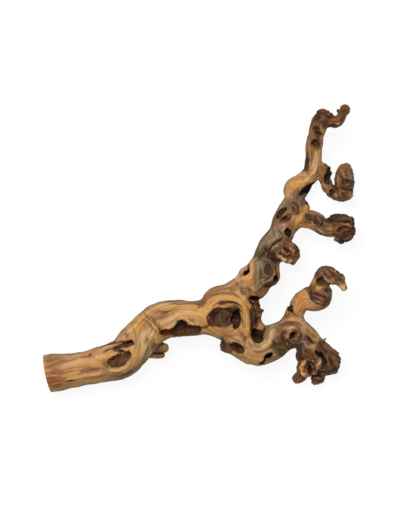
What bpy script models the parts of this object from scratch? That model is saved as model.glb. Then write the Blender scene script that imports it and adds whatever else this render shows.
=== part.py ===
"""A dry, sand-cleaned branch of old gnarled wood, lying on a flat surface.

The wood grew as one piece, so it is one closed solid: a sawn trunk that swells at an elbow, opens
into a hollow hub and forks into two crooked limbs with burls, knobs and pockets.
+X runs from the sawn end towards the limb tips, +Y towards the longer limb's tip, +Z up, and the
wood lies on Z = 0. Metres, with the tables below in millimetres.
"""

import math

import bmesh
import bpy
from mathutils import Euler, Matrix, Vector

MM = 0.001

# Driving dimensions, in millimetres.
SAWN_CENTRE = (-216.5, -177.5, 26.0)  # middle of the sawn face
SAWN_FACING = (-0.976, -0.217, 0.0)  # the way the sawn face looks
TRIM_REACH = 60.0  # how far the trimming blocks run past the wood
FLOOR_BLOCK = 700.0  # side of the block that wears the underside flat
ORIGIN_SHIFT = (2.3, 3.3, 0.0)  # moves the wood so that its box's middle lies over the origin
VOXEL = 2.4  # size of the cells that weld the limbs into one skin
SMOOTH_PASSES = 2
TRIANGLES_KEPT = 0.085  # share of the welded skin's faces that stay
SIDES_FACTOR = 4  # bevel resolution, which gives a limb 12 sides
CURVE_STEPS = 8  # steps between two stations of a limb
EGG_STEPS = 3  # times that an egg's twenty faces are split

# Each limb is a run of stations: x, y and height of its middle line, and its radius there.
LIMBS = {
    "trunk": (
        (-236, -180, 25, 26.5),
        (-216, -177.5, 25, 26.5),
        (-176, -172.5, 25, 24),
        (-140, -164.5, 27, 25),
        (-114, -157.5, 32, 27.5),
        (-103, -148, 35, 26),
        (-90, -133, 38, 26.5),
        (-62, -106, 43, 26),
        (-39, -99, 45, 26),
        (-14, -99, 46, 24.5),
        (10, -96.5, 49, 23.5),
        (32, -96, 48, 26),
    ),
    "long_limb": (
        (17, -92, 49, 22),
        (35, -76, 53, 21.5),
        (60, -56.5, 57, 18.5),
        (80, -38, 58, 21),
        (91, -20, 55, 19.5),
        (99, 0, 48, 18.5),
        (113, 18, 42, 17.5),
        (118, 32, 38, 18.5),
        (125, 48, 34, 17.5),
        (133, 69, 24, 13.5),
        (138, 84, 17, 16),
        (150, 97, 22, 13.5),
        (158.5, 108, 30, 12.5),
        (158.5, 122, 38, 11.5),
        (159.5, 144, 47, 11.8),
        (162, 162, 55, 11),
        (169.5, 177, 61, 12.5),
        (183, 175, 65, 8.5),
        (190.5, 175.5, 68, 8),
        (195.7, 182, 71, 6.2),
        (199.4, 190.5, 73, 6.5),
    ),
    "curled_side_shoot": (
        (160, 112, 33, 11),
        (171, 110.5, 36, 10),
        (174.5, 99, 34, 8.5),
        (179, 87.5, 32, 8.8),
        (186.5, 79, 32, 9.5),
        (196, 76, 32, 10.5),
        (204.5, 77.5, 32, 11.5),
    ),
    "middle_side_shoot": (
        (127, 40, 36, 14),
        (146, 41, 42, 12.5),
        (159, 38, 44, 13),
        (172, 29, 42, 12),
        (186, 28, 41, 13),
    ),
    "short_side_shoot": (
        (104, -4, 48, 14),
        (125, -7, 52, 14),
    ),
    "short_limb": (
        (26, -100, 48, 23),
        (47, -117, 48, 20.5),
        (61, -132, 45, 24),
        (79, -138.5, 42, 26.5),
        (97, -134, 38, 25.5),
        (117, -124, 37, 21.5),
        (134, -120, 35, 21),
        (146, -126, 30, 18.5),
        (157, -140, 24, 20),
        (168, -153, 20, 22),
        (178, -162, 19, 19),
    ),
    "rising_shoot": (
        (130, -110, 40, 17),
        (131, -94, 46, 13.5),
        (139, -78, 55, 13.5),
        (151, -70, 62, 15.5),
        (163, -67, 66, 17),
        (166, -50, 72, 12.5),
        (171, -38, 76, 12),
        (181, -40, 79, 10.5),
        (190, -44, 81, 8),
        (195, -51, 82, 5.5),
        (197.5, -55.5, 82, 4.8),
    ),
    "upper_stub": (
        (-76, -134, 36, 9.5),
        (-62, -139, 35, 8.2),
        (-51.5, -140.5, 34, 7),
    ),
    "lower_stub": (
        (-82, -146, 28, 8),
        (-65, -151.5, 25, 5.6),
        (-54, -151.5, 24, 5),
    ),
    "hub_arch": (
        (8, -84, 60, 9),
        (22, -73, 66, 9),
        (40, -68, 71, 8.5),
        (56, -73, 73, 8.5),
        (66, -89, 69, 8.5),
        (67, -110, 63, 9),
        (62, -128, 57, 9),
    ),
    "bark_strip": (
        (70, -62, 52, 10),
        (75, -80, 54, 8.5),
        (76.5, -98, 52, 8),
        (79, -118, 50, 9.5),
    ),
}

# Each knob is an egg: its middle, its three half sizes, and its turn about Z in degrees.
KNOBS = {
    "sawn_end_swelling": ((-206, -177, 27), (26, 25, 25.5), 12),
    "elbow_swelling": ((-97, -143.5, 36), (31, 25, 27), 52),
    "hub_floor": ((60, -94, 42), (20, 26, 20), 0),
    "weathered_bulge": ((91, -33, 57), (19, 23, 25), 30),
    "bulge_heel": ((82, -58, 56), (16, 12, 20), 40),
    "hub_shoulder": ((23, -70, 50), (20, 16, 20), 28),
    "limb_heel": ((66, -40, 57), (12, 14, 17), 40),
    "short_side_knob": ((123, -6, 51), (14.5, 15, 16), 0),
    "crook": ((135, 84, 17), (17, 15, 18), 30),
    "limb_shoulder": ((142, 57, 31), (12, 12, 14), 0),
    "curled_disc": ((202.5, 94, 34), (14, 26.5, 17), -4),
    "clenched_knob": ((200, 27, 41), (18, 20, 19), 0),
    "knob_brow": ((190, 41, 45), (13, 6.5, 12), 8),
    "fist": ((166, -67, 66), (18, 16, 18), 20),
    "fist_belly": ((160, -75, 63), (19, 12, 16), 10),
    "hub_lower_lobe": ((40, -137, 42), (13, 11.5, 17), 0),
    "cluster_neck": ((147, -152, 24), (13, 11, 15), 20),
    "ring_burl": ((152, -169, 24), (16, 15, 17), 0),
    "left_lobe": ((141, -183, 15), (10.5, 9, 12), 30),
    "right_lobe": ((183, -159, 23), (15, 21, 18), 10),
    "toothed_lobe": ((166, -185, 17), (10, 8.5, 13), 0),
    "tip_knuckle": ((174, -38, 77), (15, 12.5, 12), -15),
    "tip_brow": ((188, -41, 82), (10, 7.5, 8), -30),
    "top_knuckle": ((171, 181, 61), (13, 12, 14), 0),
    "end_ball": ((200, 191, 73), (6.5, 6.5, 6.5), 0),
    "bark_lump": ((83, -110, 57), (7, 7, 8), 0),
    "bark_tooth": ((81, -94, 52), (5, 8, 9), 0),
}

# Each hollow is an egg taken out of the wood, stated as a knob is.
HOLLOWS = {
    "trunk_pocket": ((-110, -152.5, 59), (16, 9.5, 11), 24),
    "trunk_pocket_end": ((-121, -160, 56), (7.5, 5, 8), 20),
    "trunk_cleft": ((-110, -135.5, 60), (18, 4.2, 11), 20),
    "elbow_underside": ((-24, -114, 64), (27, 8.5, 15), 2),
    "hub_bowl": ((31, -96, 76), (21.5, 13, 22), 6),
    "hub_shaft": ((49.5, -98, 62), (6.5, 12, 20), -6),
    "lobe_pocket": ((51, -139, 62), (10.5, 4.6, 9), -22),
    "bark_pit": ((79, -122, 66), (7.5, 9.5, 16), 25),
    "bark_gap": ((73, -68, 60), (8, 4.5, 9), -10),
    "heel_pit": ((94, -149, 52), (6.5, 4.8, 14), 25),
    "shoot_pit": ((127.5, -83, 54), (3.8, 7, 10), 22),
    "knot_pit": ((129.5, -121.5, 58), (4.8, 7, 9.5), -10),
    "bulge_pit": ((104, -42, 72), (3.8, 4.8, 10), 0),
    "crown_pit": ((165.5, -46, 84), (6.5, 4.2, 7), 0),
    "long_pit": ((118, 41, 53.5), (8, 5, 5), 50),
    "disc_pit": ((178.5, 97, 42), (4.2, 6, 9), 0),
    "column_pit": ((160, 145, 59), (6, 4.6, 8), 15),
    "burl_cleft": ((170, -153, 44), (3, 11, 12), 38),
    "slot_under_crook": ((154, 84, 30), (15, 3.6, 12), 32),
}


def clear_scene():
    """Removes every object that the new file starts with."""
    for thing in list(bpy.data.objects):
        bpy.data.objects.remove(thing, do_unlink=True)


def weathered_wood():
    """The one finish: bare, dry, tan wood."""
    material = bpy.data.materials.new("weathered_wood")
    material.use_nodes = True
    shader = material.node_tree.nodes["Principled BSDF"]
    shader.inputs["Base Color"].default_value = (0.42, 0.25, 0.13, 1.0)
    shader.inputs["Roughness"].default_value = 0.75
    shader.inputs["Metallic"].default_value = 0.0
    return material


def placed(x, y, z):
    """A point of the tables as a place in the part's frame, in metres."""
    return (Vector((x, y, z)) + Vector(ORIGIN_SHIFT)) * MM


def limb_mesh(stations):
    """A tube of changing radius with closed ends, along a smooth curve through the stations."""
    curve = bpy.data.curves.new("limb", "CURVE")
    curve.dimensions = "3D"
    curve.bevel_depth = MM
    curve.bevel_resolution = SIDES_FACTOR
    curve.resolution_u = CURVE_STEPS
    curve.use_fill_caps = True
    spline = curve.splines.new("BEZIER")
    spline.bezier_points.add(len(stations) - 1)
    spline.radius_interpolation = "CARDINAL"
    for point, (x, y, z, radius) in zip(spline.bezier_points, stations):
        point.co = placed(x, y, z)
        point.radius = radius
        point.handle_left_type = "AUTO"
        point.handle_right_type = "AUTO"
    guide = bpy.data.objects.new("limb", curve)
    bpy.context.scene.collection.objects.link(guide)
    graph = bpy.context.evaluated_depsgraph_get()
    mesh = bpy.data.meshes.new_from_object(guide.evaluated_get(graph))
    bpy.data.objects.remove(guide, do_unlink=True)
    return mesh


def add_egg(skin, middle, half_sizes, turn):
    """Adds an egg to a bmesh: a sphere stretched to its half sizes and turned about Z."""
    place = Matrix.LocRotScale(
        placed(*middle),
        Euler((0.0, 0.0, math.radians(turn))),
        Vector(half_sizes) * MM,
    )
    bmesh.ops.create_icosphere(skin, subdivisions=EGG_STEPS, radius=1.0, matrix=place)


def new_object(name, skin):
    """Makes an object from a bmesh, with its faces turned outwards."""
    bmesh.ops.recalc_face_normals(skin, faces=skin.faces)
    mesh = bpy.data.meshes.new(name)
    skin.to_mesh(mesh)
    skin.free()
    made = bpy.data.objects.new(name, mesh)
    bpy.context.scene.collection.objects.link(made)
    return made


def cutter(name, skin):
    """Makes an object that only cuts others."""
    made = new_object(name, skin)
    made.hide_render = True
    made.display_type = "WIRE"
    return made


def raw_wood():
    """Every limb and knob in one mesh, still overlapping."""
    skin = bmesh.new()
    for stations in LIMBS.values():
        mesh = limb_mesh(stations)
        skin.from_mesh(mesh)
        bpy.data.meshes.remove(mesh)
    bmesh.ops.remove_doubles(skin, verts=skin.verts, dist=1e-6)
    for middle, half_sizes, turn in KNOBS.values():
        add_egg(skin, middle, half_sizes, turn)
    return new_object("dry_root", skin)


def hollow_cutter(name, hollow):
    """The egg that one hollow takes out of the wood."""
    skin = bmesh.new()
    add_egg(skin, *hollow)
    return cutter(name, skin)


def floor_cutter():
    """A block under Z = 0, which gives the wood the small worn flats that it lies on."""
    skin = bmesh.new()
    middle = Vector((0.0, 0.0, -TRIM_REACH / 2)) * MM
    sides = Matrix.Diagonal((FLOOR_BLOCK * MM, FLOOR_BLOCK * MM, TRIM_REACH * MM, 1.0))
    bmesh.ops.create_cube(skin, size=1.0, matrix=Matrix.Translation(middle) @ sides)
    return cutter("floor_cutter", skin)


def saw_cutter():
    """A block beyond the sawn face, square to the way the face looks."""
    facing = Vector(SAWN_FACING).normalized()
    middle = placed(*SAWN_CENTRE) + facing * TRIM_REACH * MM / 2
    turn = Matrix.Rotation(math.atan2(facing.y, facing.x), 4, "Z")
    sides = Matrix.Diagonal((TRIM_REACH * MM, 3 * TRIM_REACH * MM, 3 * TRIM_REACH * MM, 1.0))
    skin = bmesh.new()
    bmesh.ops.create_cube(skin, size=1.0, matrix=Matrix.Translation(middle) @ turn @ sides)
    return cutter("saw_cutter", skin)


def take_away(wood, tool):
    """Cuts one object out of the wood with an exact Boolean."""
    cut = wood.modifiers.new(tool.name, "BOOLEAN")
    cut.operation = "DIFFERENCE"
    cut.solver = "EXACT"
    cut.object = tool


def main():
    clear_scene()
    wood = raw_wood()
    wood.data.materials.append(weathered_wood())

    weld = wood.modifiers.new("weld_limbs", "REMESH")
    weld.mode = "VOXEL"
    weld.voxel_size = VOXEL * MM
    weld.use_smooth_shade = True

    soften = wood.modifiers.new("soften_joins", "SMOOTH")
    soften.factor = 0.5
    soften.iterations = SMOOTH_PASSES

    for name, hollow in HOLLOWS.items():
        take_away(wood, hollow_cutter(name, hollow))

    skin_over = wood.modifiers.new("even_skin", "REMESH")
    skin_over.mode = "VOXEL"
    skin_over.voxel_size = VOXEL * MM
    skin_over.use_smooth_shade = True

    thin = wood.modifiers.new("fewer_faces", "DECIMATE")
    thin.ratio = TRIANGLES_KEPT

    take_away(wood, saw_cutter())
    take_away(wood, floor_cutter())


main()
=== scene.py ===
"""The finish of a dry, gnarled piece of wood, and the plain stage that it lies on."""

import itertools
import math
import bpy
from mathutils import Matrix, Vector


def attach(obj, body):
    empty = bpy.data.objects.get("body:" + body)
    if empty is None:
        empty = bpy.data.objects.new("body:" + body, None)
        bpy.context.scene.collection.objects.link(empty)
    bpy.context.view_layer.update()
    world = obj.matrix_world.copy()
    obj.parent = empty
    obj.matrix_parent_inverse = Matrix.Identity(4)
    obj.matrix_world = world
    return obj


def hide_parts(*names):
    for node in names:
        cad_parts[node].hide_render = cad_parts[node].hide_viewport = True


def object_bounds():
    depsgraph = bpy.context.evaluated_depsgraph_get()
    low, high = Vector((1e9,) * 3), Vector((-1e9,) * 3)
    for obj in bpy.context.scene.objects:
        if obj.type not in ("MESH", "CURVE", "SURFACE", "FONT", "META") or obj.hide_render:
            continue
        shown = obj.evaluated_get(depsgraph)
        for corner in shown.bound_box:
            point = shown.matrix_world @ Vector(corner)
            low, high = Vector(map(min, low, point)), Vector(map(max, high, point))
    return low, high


bl_info = {
    "name": "Dry root",
    "version": (1, 0, 0),
    "blender": (4, 5, 0),
    "location": "View3D > Sidebar > Dry root",
    "description": "Builds a dry, gnarled piece of wood and the plain stage that it lies on",
    "category": "Add Mesh",
}

import bpy
import numpy as np
import openvdb
from mathutils import Vector

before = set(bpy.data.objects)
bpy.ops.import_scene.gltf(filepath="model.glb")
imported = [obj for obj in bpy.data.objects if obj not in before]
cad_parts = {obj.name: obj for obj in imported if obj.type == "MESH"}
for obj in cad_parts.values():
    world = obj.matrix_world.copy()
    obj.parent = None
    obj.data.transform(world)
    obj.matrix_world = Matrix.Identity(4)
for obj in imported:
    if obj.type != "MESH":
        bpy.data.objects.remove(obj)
CAD_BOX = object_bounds()

MM = 0.001
NODE = "dry_root"
TRIANGLES = 190000  # how many the finished skin keeps
FAR = 1e3  # a distance, in millimetres, that stands for nowhere near
KNOB_SEED, HOLLOW_SEED, DOME_SEED, KNOT_SEED, LUMP_SEED, STROKE_SEED = 40, 80, 120, 140, 170, 200
FILLET = 8.0  # how wide the fillet of most limbs is, in millimetres
RINGS = 2100.0  # how fast the growth rings follow each other, in radians per metre
PITH = 5.0  # how far the dark pith reaches, in millimetres
CONTRAST = 1.2  # the power that the finished colour is raised to
LIFT = (1.26, 1.31, 1.42, 1.0)  # what it is multiplied by after that
FLOOR_HALF = 12.0  # half the floor's side, in metres
FLOOR_DROP = 0.0002  # how far the floor lies below the wood, in metres
FLOOR_GLOW = 0.9
LAMP_PLACE = (-0.35, 0.55, 1.7)
LENS = 100.0  # in millimetres
CAMERA_PLACE = (0.0053, -0.0081, 2.036)

# The tables below are in millimetres, in the frame that part.py's tables use.
ORIGIN_SHIFT = np.array((2.3, 3.3, 0.0))
SAWN_CENTRE = np.array((-216.5, -177.5, 26.0))
SAWN_FACING = np.array((-0.976, -0.217, 0.0))

# Each limb is a run of stations: x, y and height of its middle line, and its radius there.
LIMBS = {
    "trunk": (
        (-236, -180, 25, 26.5),
        (-216, -177.5, 25, 26.5),
        (-176, -172.5, 25, 24),
        (-140, -164.5, 27, 25),
        (-114, -157.5, 32, 27.5),
        (-103, -148, 35, 26),
        (-90, -133, 38, 26.5),
        (-62, -106, 43, 26),
        (-39, -99, 45, 26),
        (-14, -99, 46, 24.5),
        (10, -96.5, 49, 23.5),
        (32, -96, 48, 26),
    ),
    "long_limb": (
        (17, -92, 49, 22),
        (35, -76, 53, 21.5),
        (60, -56.5, 57, 18.5),
        (80, -38, 58, 21),
        (91, -20, 55, 19.5),
        (99, 0, 48, 18.5),
        (113, 18, 42, 17.5),
        (118, 32, 38, 18.5),
        (125, 48, 34, 17.5),
        (133, 69, 24, 13.5),
        (138, 84, 17, 16),
        (150, 97, 22, 13.5),
        (158.5, 108, 30, 12.5),
        (158.5, 122, 38, 11.5),
        (159.5, 144, 47, 11.8),
        (162, 162, 55, 11),
        (169.5, 177, 61, 12.5),
        (183, 175, 65, 8.5),
        (190.5, 175.5, 68, 8),
        (195.7, 182, 71, 6.2),
        (199.4, 190.5, 73, 6.5),
    ),
    "curled_side_shoot": (
        (160, 112, 33, 11),
        (171, 110.5, 36, 10),
        (174.5, 99, 34, 8.5),
        (179, 87.5, 32, 8.8),
        (186.5, 79, 32, 9.5),
        (196, 76, 32, 10.5),
        (204.5, 77.5, 32, 11.5),
    ),
    "middle_side_shoot": (
        (127, 40, 36, 14),
        (146, 41, 42, 12.5),
        (159, 38, 44, 13),
        (172, 29, 42, 12),
        (186, 28, 41, 13),
    ),
    "short_side_shoot": (
        (104, -4, 48, 14),
        (125, -7, 52, 14),
    ),
    "short_limb": (
        (26, -100, 48, 23),
        (47, -117, 48, 20.5),
        (61, -132, 45, 24),
        (79, -138.5, 42, 26.5),
        (97, -134, 38, 25.5),
        (117, -124, 37, 21.5),
        (134, -120, 35, 21),
        (146, -126, 30, 18.5),
        (157, -140, 24, 20),
        (168, -153, 20, 22),
        (178, -162, 19, 19),
    ),
    "rising_shoot": (
        (130, -110, 40, 17),
        (131, -94, 46, 13.5),
        (139, -78, 55, 13.5),
        (151, -70, 62, 15.5),
        (163, -67, 66, 17),
        (166, -50, 72, 12.5),
        (171, -38, 76, 12),
        (181, -40, 79, 10.5),
        (190, -44, 81, 8),
        (195, -51, 82, 5.5),
        (197.5, -55.5, 82, 4.8),
    ),
    "upper_stub": (
        (-76, -134, 36, 9.5),
        (-62, -139, 35, 8.2),
        (-51.5, -140.5, 34, 7.0),
    ),
    "lower_stub": (
        (-82, -146, 28, 8),
        (-65, -151.5, 25, 5.6),
        (-54, -151.5, 24, 5.0),
    ),
    "hub_arch": (
        (8, -84, 60, 9),
        (22, -73, 66, 9),
        (40, -68, 71, 8.5),
        (56, -73, 73, 8.5),
        (66, -89, 69, 8.5),
        (67, -110, 63, 9),
        (62, -128, 57, 9),
    ),
    "twig": (
        (163, -136, 31, 2.6),
        (171, -131.5, 35, 1.5),
        (177, -127.5, 37, 1.2),
    ),
    "bark_strip": (
        (70, -62, 52, 10),
        (75, -80, 54, 8.5),
        (76.5, -98, 52, 8.0),
        (79, -118, 50, 9.5),
    ),
}

# Limbs whose skin is broken up by old bark and burls, from 0 to 1.
ROUGH_LIMBS = {"bark_strip": 1.0, "short_side_shoot": 0.6, "curled_side_shoot": 0.25}

# How wide a fillet each of these limbs has where it grows out, in place of FILLET.
FILLETS = {
    "upper_stub": 3.0,
    "lower_stub": 3.0,
    "hub_arch": 4.0,
    "twig": 1.5,
    "bark_strip": 3.0,
    "short_side_shoot": 4.0,
    "curled_side_shoot": 5.0,
}

# The limb that each limb grows from, where its grain goes on from.
PARENTS = {
    "long_limb": "trunk",
    "short_limb": "trunk",
    "hub_arch": "trunk",
    "upper_stub": "trunk",
    "lower_stub": "trunk",
    "twig": "short_limb",
    "bark_strip": "long_limb",
    "short_side_shoot": "long_limb",
    "middle_side_shoot": "long_limb",
    "curled_side_shoot": "long_limb",
    "rising_shoot": "short_limb",
}

# Each knob is an egg: its middle, its three half sizes, its turn about Z in degrees, how gnarled
# its skin is, from 0 to 1, and its tone.
KNOBS = {
    "sawn_end_swelling": ((-206, -177, 27), (26, 25, 25.5), 12, 0.0, None),
    "elbow_swelling": ((-97, -143.5, 36), (31, 25, 27), 52, 0.0, None),
    "hub_floor": ((60, -94, 42), (20, 26, 20), 0, 0.0, None),
    "weathered_bulge": ((91, -33, 57), (19, 23, 25), 30, 0.15, None),
    "bulge_heel": ((82, -58, 56), (16, 12, 20), 40, 0.1, None),
    "hub_shoulder": ((23, -70, 50), (20, 16, 20), 28, 0.0, None),
    "limb_heel": ((66, -40, 57), (12, 14, 17), 40, 0.0, None),
    "short_side_knob": ((123, -6, 51), (14.5, 15, 16), 0, 1.0, "rust"),
    "side_knob_tip": ((130, -18, 49), (5, 7, 8), 0, 0.6, "olive"),
    "crook": ((135, 84, 17), (17, 15, 18), 30, 0.0, None),
    "limb_shoulder": ((142, 57, 31), (12, 12, 14), 0, 0.0, None),
    "curled_disc": ((202.5, 94, 34), (14, 26.5, 17), -4, 0.5, "umber"),
    "clenched_knob": ((200, 27, 41), (18, 20, 19), 0, 1.0, "umber"),
    "knob_brow": ((190, 41, 45), (13, 6.5, 12), 8, 0.8, "black"),
    "fist": ((166, -67, 66), (18, 16, 18), 20, 0.8, "umber"),
    "fist_belly": ((160, -75, 63), (19, 12, 16), 10, 0.0, None),
    "hub_lower_lobe": ((40, -137, 42), (13, 11.5, 17), 0, 0.6, "umber"),
    "cluster_neck": ((147, -152, 24), (13, 11, 15), 20, 0.5, "umber"),
    "ring_burl": ((152, -169, 24), (16, 15, 17), 0, 0.9, "rust"),
    "left_lobe": ((141, -183, 15), (10.5, 9, 12), 30, 0.6, "brown"),
    "right_lobe": ((183, -159, 23), (15, 21, 18), 10, 0.9, "umber"),
    "toothed_lobe": ((166, -185, 17), (10, 8.5, 13), 0, 1.0, "umber"),
    "tip_knuckle": ((174, -38, 77), (15, 12.5, 12), -15, 0.7, "umber"),
    "tip_brow": ((189.5, -41, 82), (9.5, 8, 8), -35, 0.9, "umber"),
    "top_knuckle": ((171, 181, 61), (13, 12, 14), 0, 0.8, "umber"),
    "arm_burr": ((185, 171, 66), (6, 4.5, 6), 0, 0.9, "umber"),
    "end_burr": ((191, 188.5, 71), (4, 3.5, 4), 0, 0.8, "olive"),
    "end_ball": ((200, 191, 73), (6.5, 6.5, 6.5), 0, 0.6, "brown"),
    "curl_burr": ((180, 112.5, 40), (3.6, 3, 6), 0, 0.8, "black"),
    "curl_burr_below": ((182, 105, 38), (3.6, 3.6, 6), 0, 0.8, "black"),
    "bark_point": ((84, -88, 52), (5, 3.5, 6), 0, 1.0, "black"),
    "bark_lump": ((83, -110, 57), (7, 7, 8), 0, 0.4, "orange"),
    "bark_tooth": ((81, -94, 52), (5, 8, 9), 0, 0.8, "black"),
}

# Each hollow is an egg taken out of the wood: its middle, half sizes, turn and tone. The dark tones
# of the deep ones are the wood's own dark colour and painted shade in the recess.
HOLLOWS = {
    "trunk_pocket": ((-110, -152.5, 59), (16, 9.5, 11), 24, "plum"),
    "trunk_pocket_end": ((-121, -160, 56), (7.5, 5, 8), 20, "umber"),
    "trunk_cleft": ((-110, -135.5, 60), (18, 4.2, 11), 20, "umber"),
    "elbow_pocket_left": ((-44, -117, 60), (12, 4.8, 13), 3, "rust"),
    "elbow_pocket_floor": ((-22, -116, 60), (24, 6.5, 14), 2, "umber"),
    "elbow_pocket": ((-27, -109, 64), (10, 9, 17), 30, "black"),
    "elbow_pocket_right": ((-9, -112, 62), (10.5, 6.5, 13), -4, "umber"),
    "hub_bowl": ((31, -96, 76), (21.5, 13, 22), 6, "plum"),
    "hub_shaft": ((49.5, -98, 62), (6.5, 12, 20), -6, "black"),
    "lobe_pocket": ((51, -139, 62), (10.5, 4.6, 9), -22, "umber"),
    "bark_pit": ((79, -122, 66), (7.5, 9.5, 16), 25, "black"),
    "bark_gap": ((73, -68, 60), (8, 4.5, 9), -10, "black"),
    "heel_pit": ((94, -149, 52), (6.5, 4.8, 14), 25, "black"),
    "heel_slot": ((87, -157, 50), (2.6, 6, 10), -35, "black"),
    "shoot_pit": ((125.8, -83.5, 54), (4.6, 6.5, 10), 22, "black"),
    "knot_pit": ((129.5, -121.5, 58), (4.8, 7, 9.5), -10, "umber"),
    "bulge_pit": ((104, -42, 72), (3.8, 4.8, 10), 0, "black"),
    "crown_pit": ((165.5, -46, 84), (6.5, 4.2, 7), 0, "umber"),
    "limb_pit": ((122, 22, 54), (2.8, 6, 10), 28, "black"),
    "long_pit": ((118, 41, 53.5), (8, 5, 5), 50, "brown"),
    "long_slit": ((112.5, 50, 50), (2.2, 9, 8), -38, "black"),
    "facet_gap": ((64, -34, 66), (6.5, 2.6, 8), 28, "black"),
    "disc_pit": ((178.5, 97, 42), (4.2, 6.0, 9), 0, "black"),
    "curl_pit": ((184, 78, 41), (3.4, 4, 7), 0, "umber"),
    "column_pit": ((160, 145, 59), (6, 4.6, 8), 15, "umber"),
    "upper_column_pit": ((163.5, 157, 65), (3.6, 6, 7), 0, "umber"),
    "top_column_pit": ((160, 165, 68), (5, 2.6, 6), 10, "umber"),
    "burl_cleft": ((170, -153, 44), (3, 11, 12), 38, "black"),
    "burl_eye": ((154, -170, 42), (3.5, 4, 6), 0, "black"),
    # Its black, with the stroke and the stain over it, is dark bark and painted shade under the
    # limb.
    "slot_under_crook": ((154, 84, 30), (15, 3.6, 12), 32, "black"),
}

# A dome left standing in the middle of a hollow.
DOMES = {"hub_dome": ((33, -97, 52), (8.5, 12, 10.5), 0)}

# Knots with rings round them: x and y of the middle on the upper side, half sizes, turn, rim
# height and pit depth.
KNOTS = {
    "fork_knot": (128, -121, 12, 12, 0, 2.2, 3.4),
    "bulge_knot": (93, -30, 8.0, 11.5, -12, 1.1, 2.8),
    "limb_knot": (131.5, 55, 5.5, 8.5, -20, 1.4, 2.5),
    "lower_limb_knot": (119, 42, 7, 6, 0, 1.0, 2.0),
    "shoot_knot": (162.5, 38, 8, 8, 0, 1.4, 2.5),
    "shoot_heel_knot": (149.5, 41.5, 5.5, 6.5, 0, 1.2, 3.0),
    "ring_knot": (153, -169, 12, 12, 0, 1.6, 3.0),
    "disc_knot": (204, 88, 10, 7.5, 0, 1.4, 2.5),
    "side_knot": (119, -4, 8, 7, 20, 1.4, 2.5),
    "hub_knot": (33, -97, 8, 11, 0, 1.0, 0.5),
}

# Colours of the wood, as shares of red, green and blue light.
TONES = {
    "tan": (0.520, 0.300, 0.128),
    "ochre": (0.600, 0.325, 0.088),
    "orange": (0.640, 0.300, 0.105),
    "pale": (0.700, 0.450, 0.220),
    "pink": (0.400, 0.180, 0.092),
    "brown": (0.230, 0.110, 0.045),
    "grey": (0.190, 0.132, 0.076),
    "silver": (0.320, 0.232, 0.145),
    "olive": (0.100, 0.076, 0.027),
    "rust": (0.290, 0.085, 0.026),
    "umber": (0.094, 0.040, 0.017),
    "plum": (0.110, 0.046, 0.033),
    "black": (0.016, 0.009, 0.005),
    "salmon": (0.600, 0.240, 0.165),
}
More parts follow.
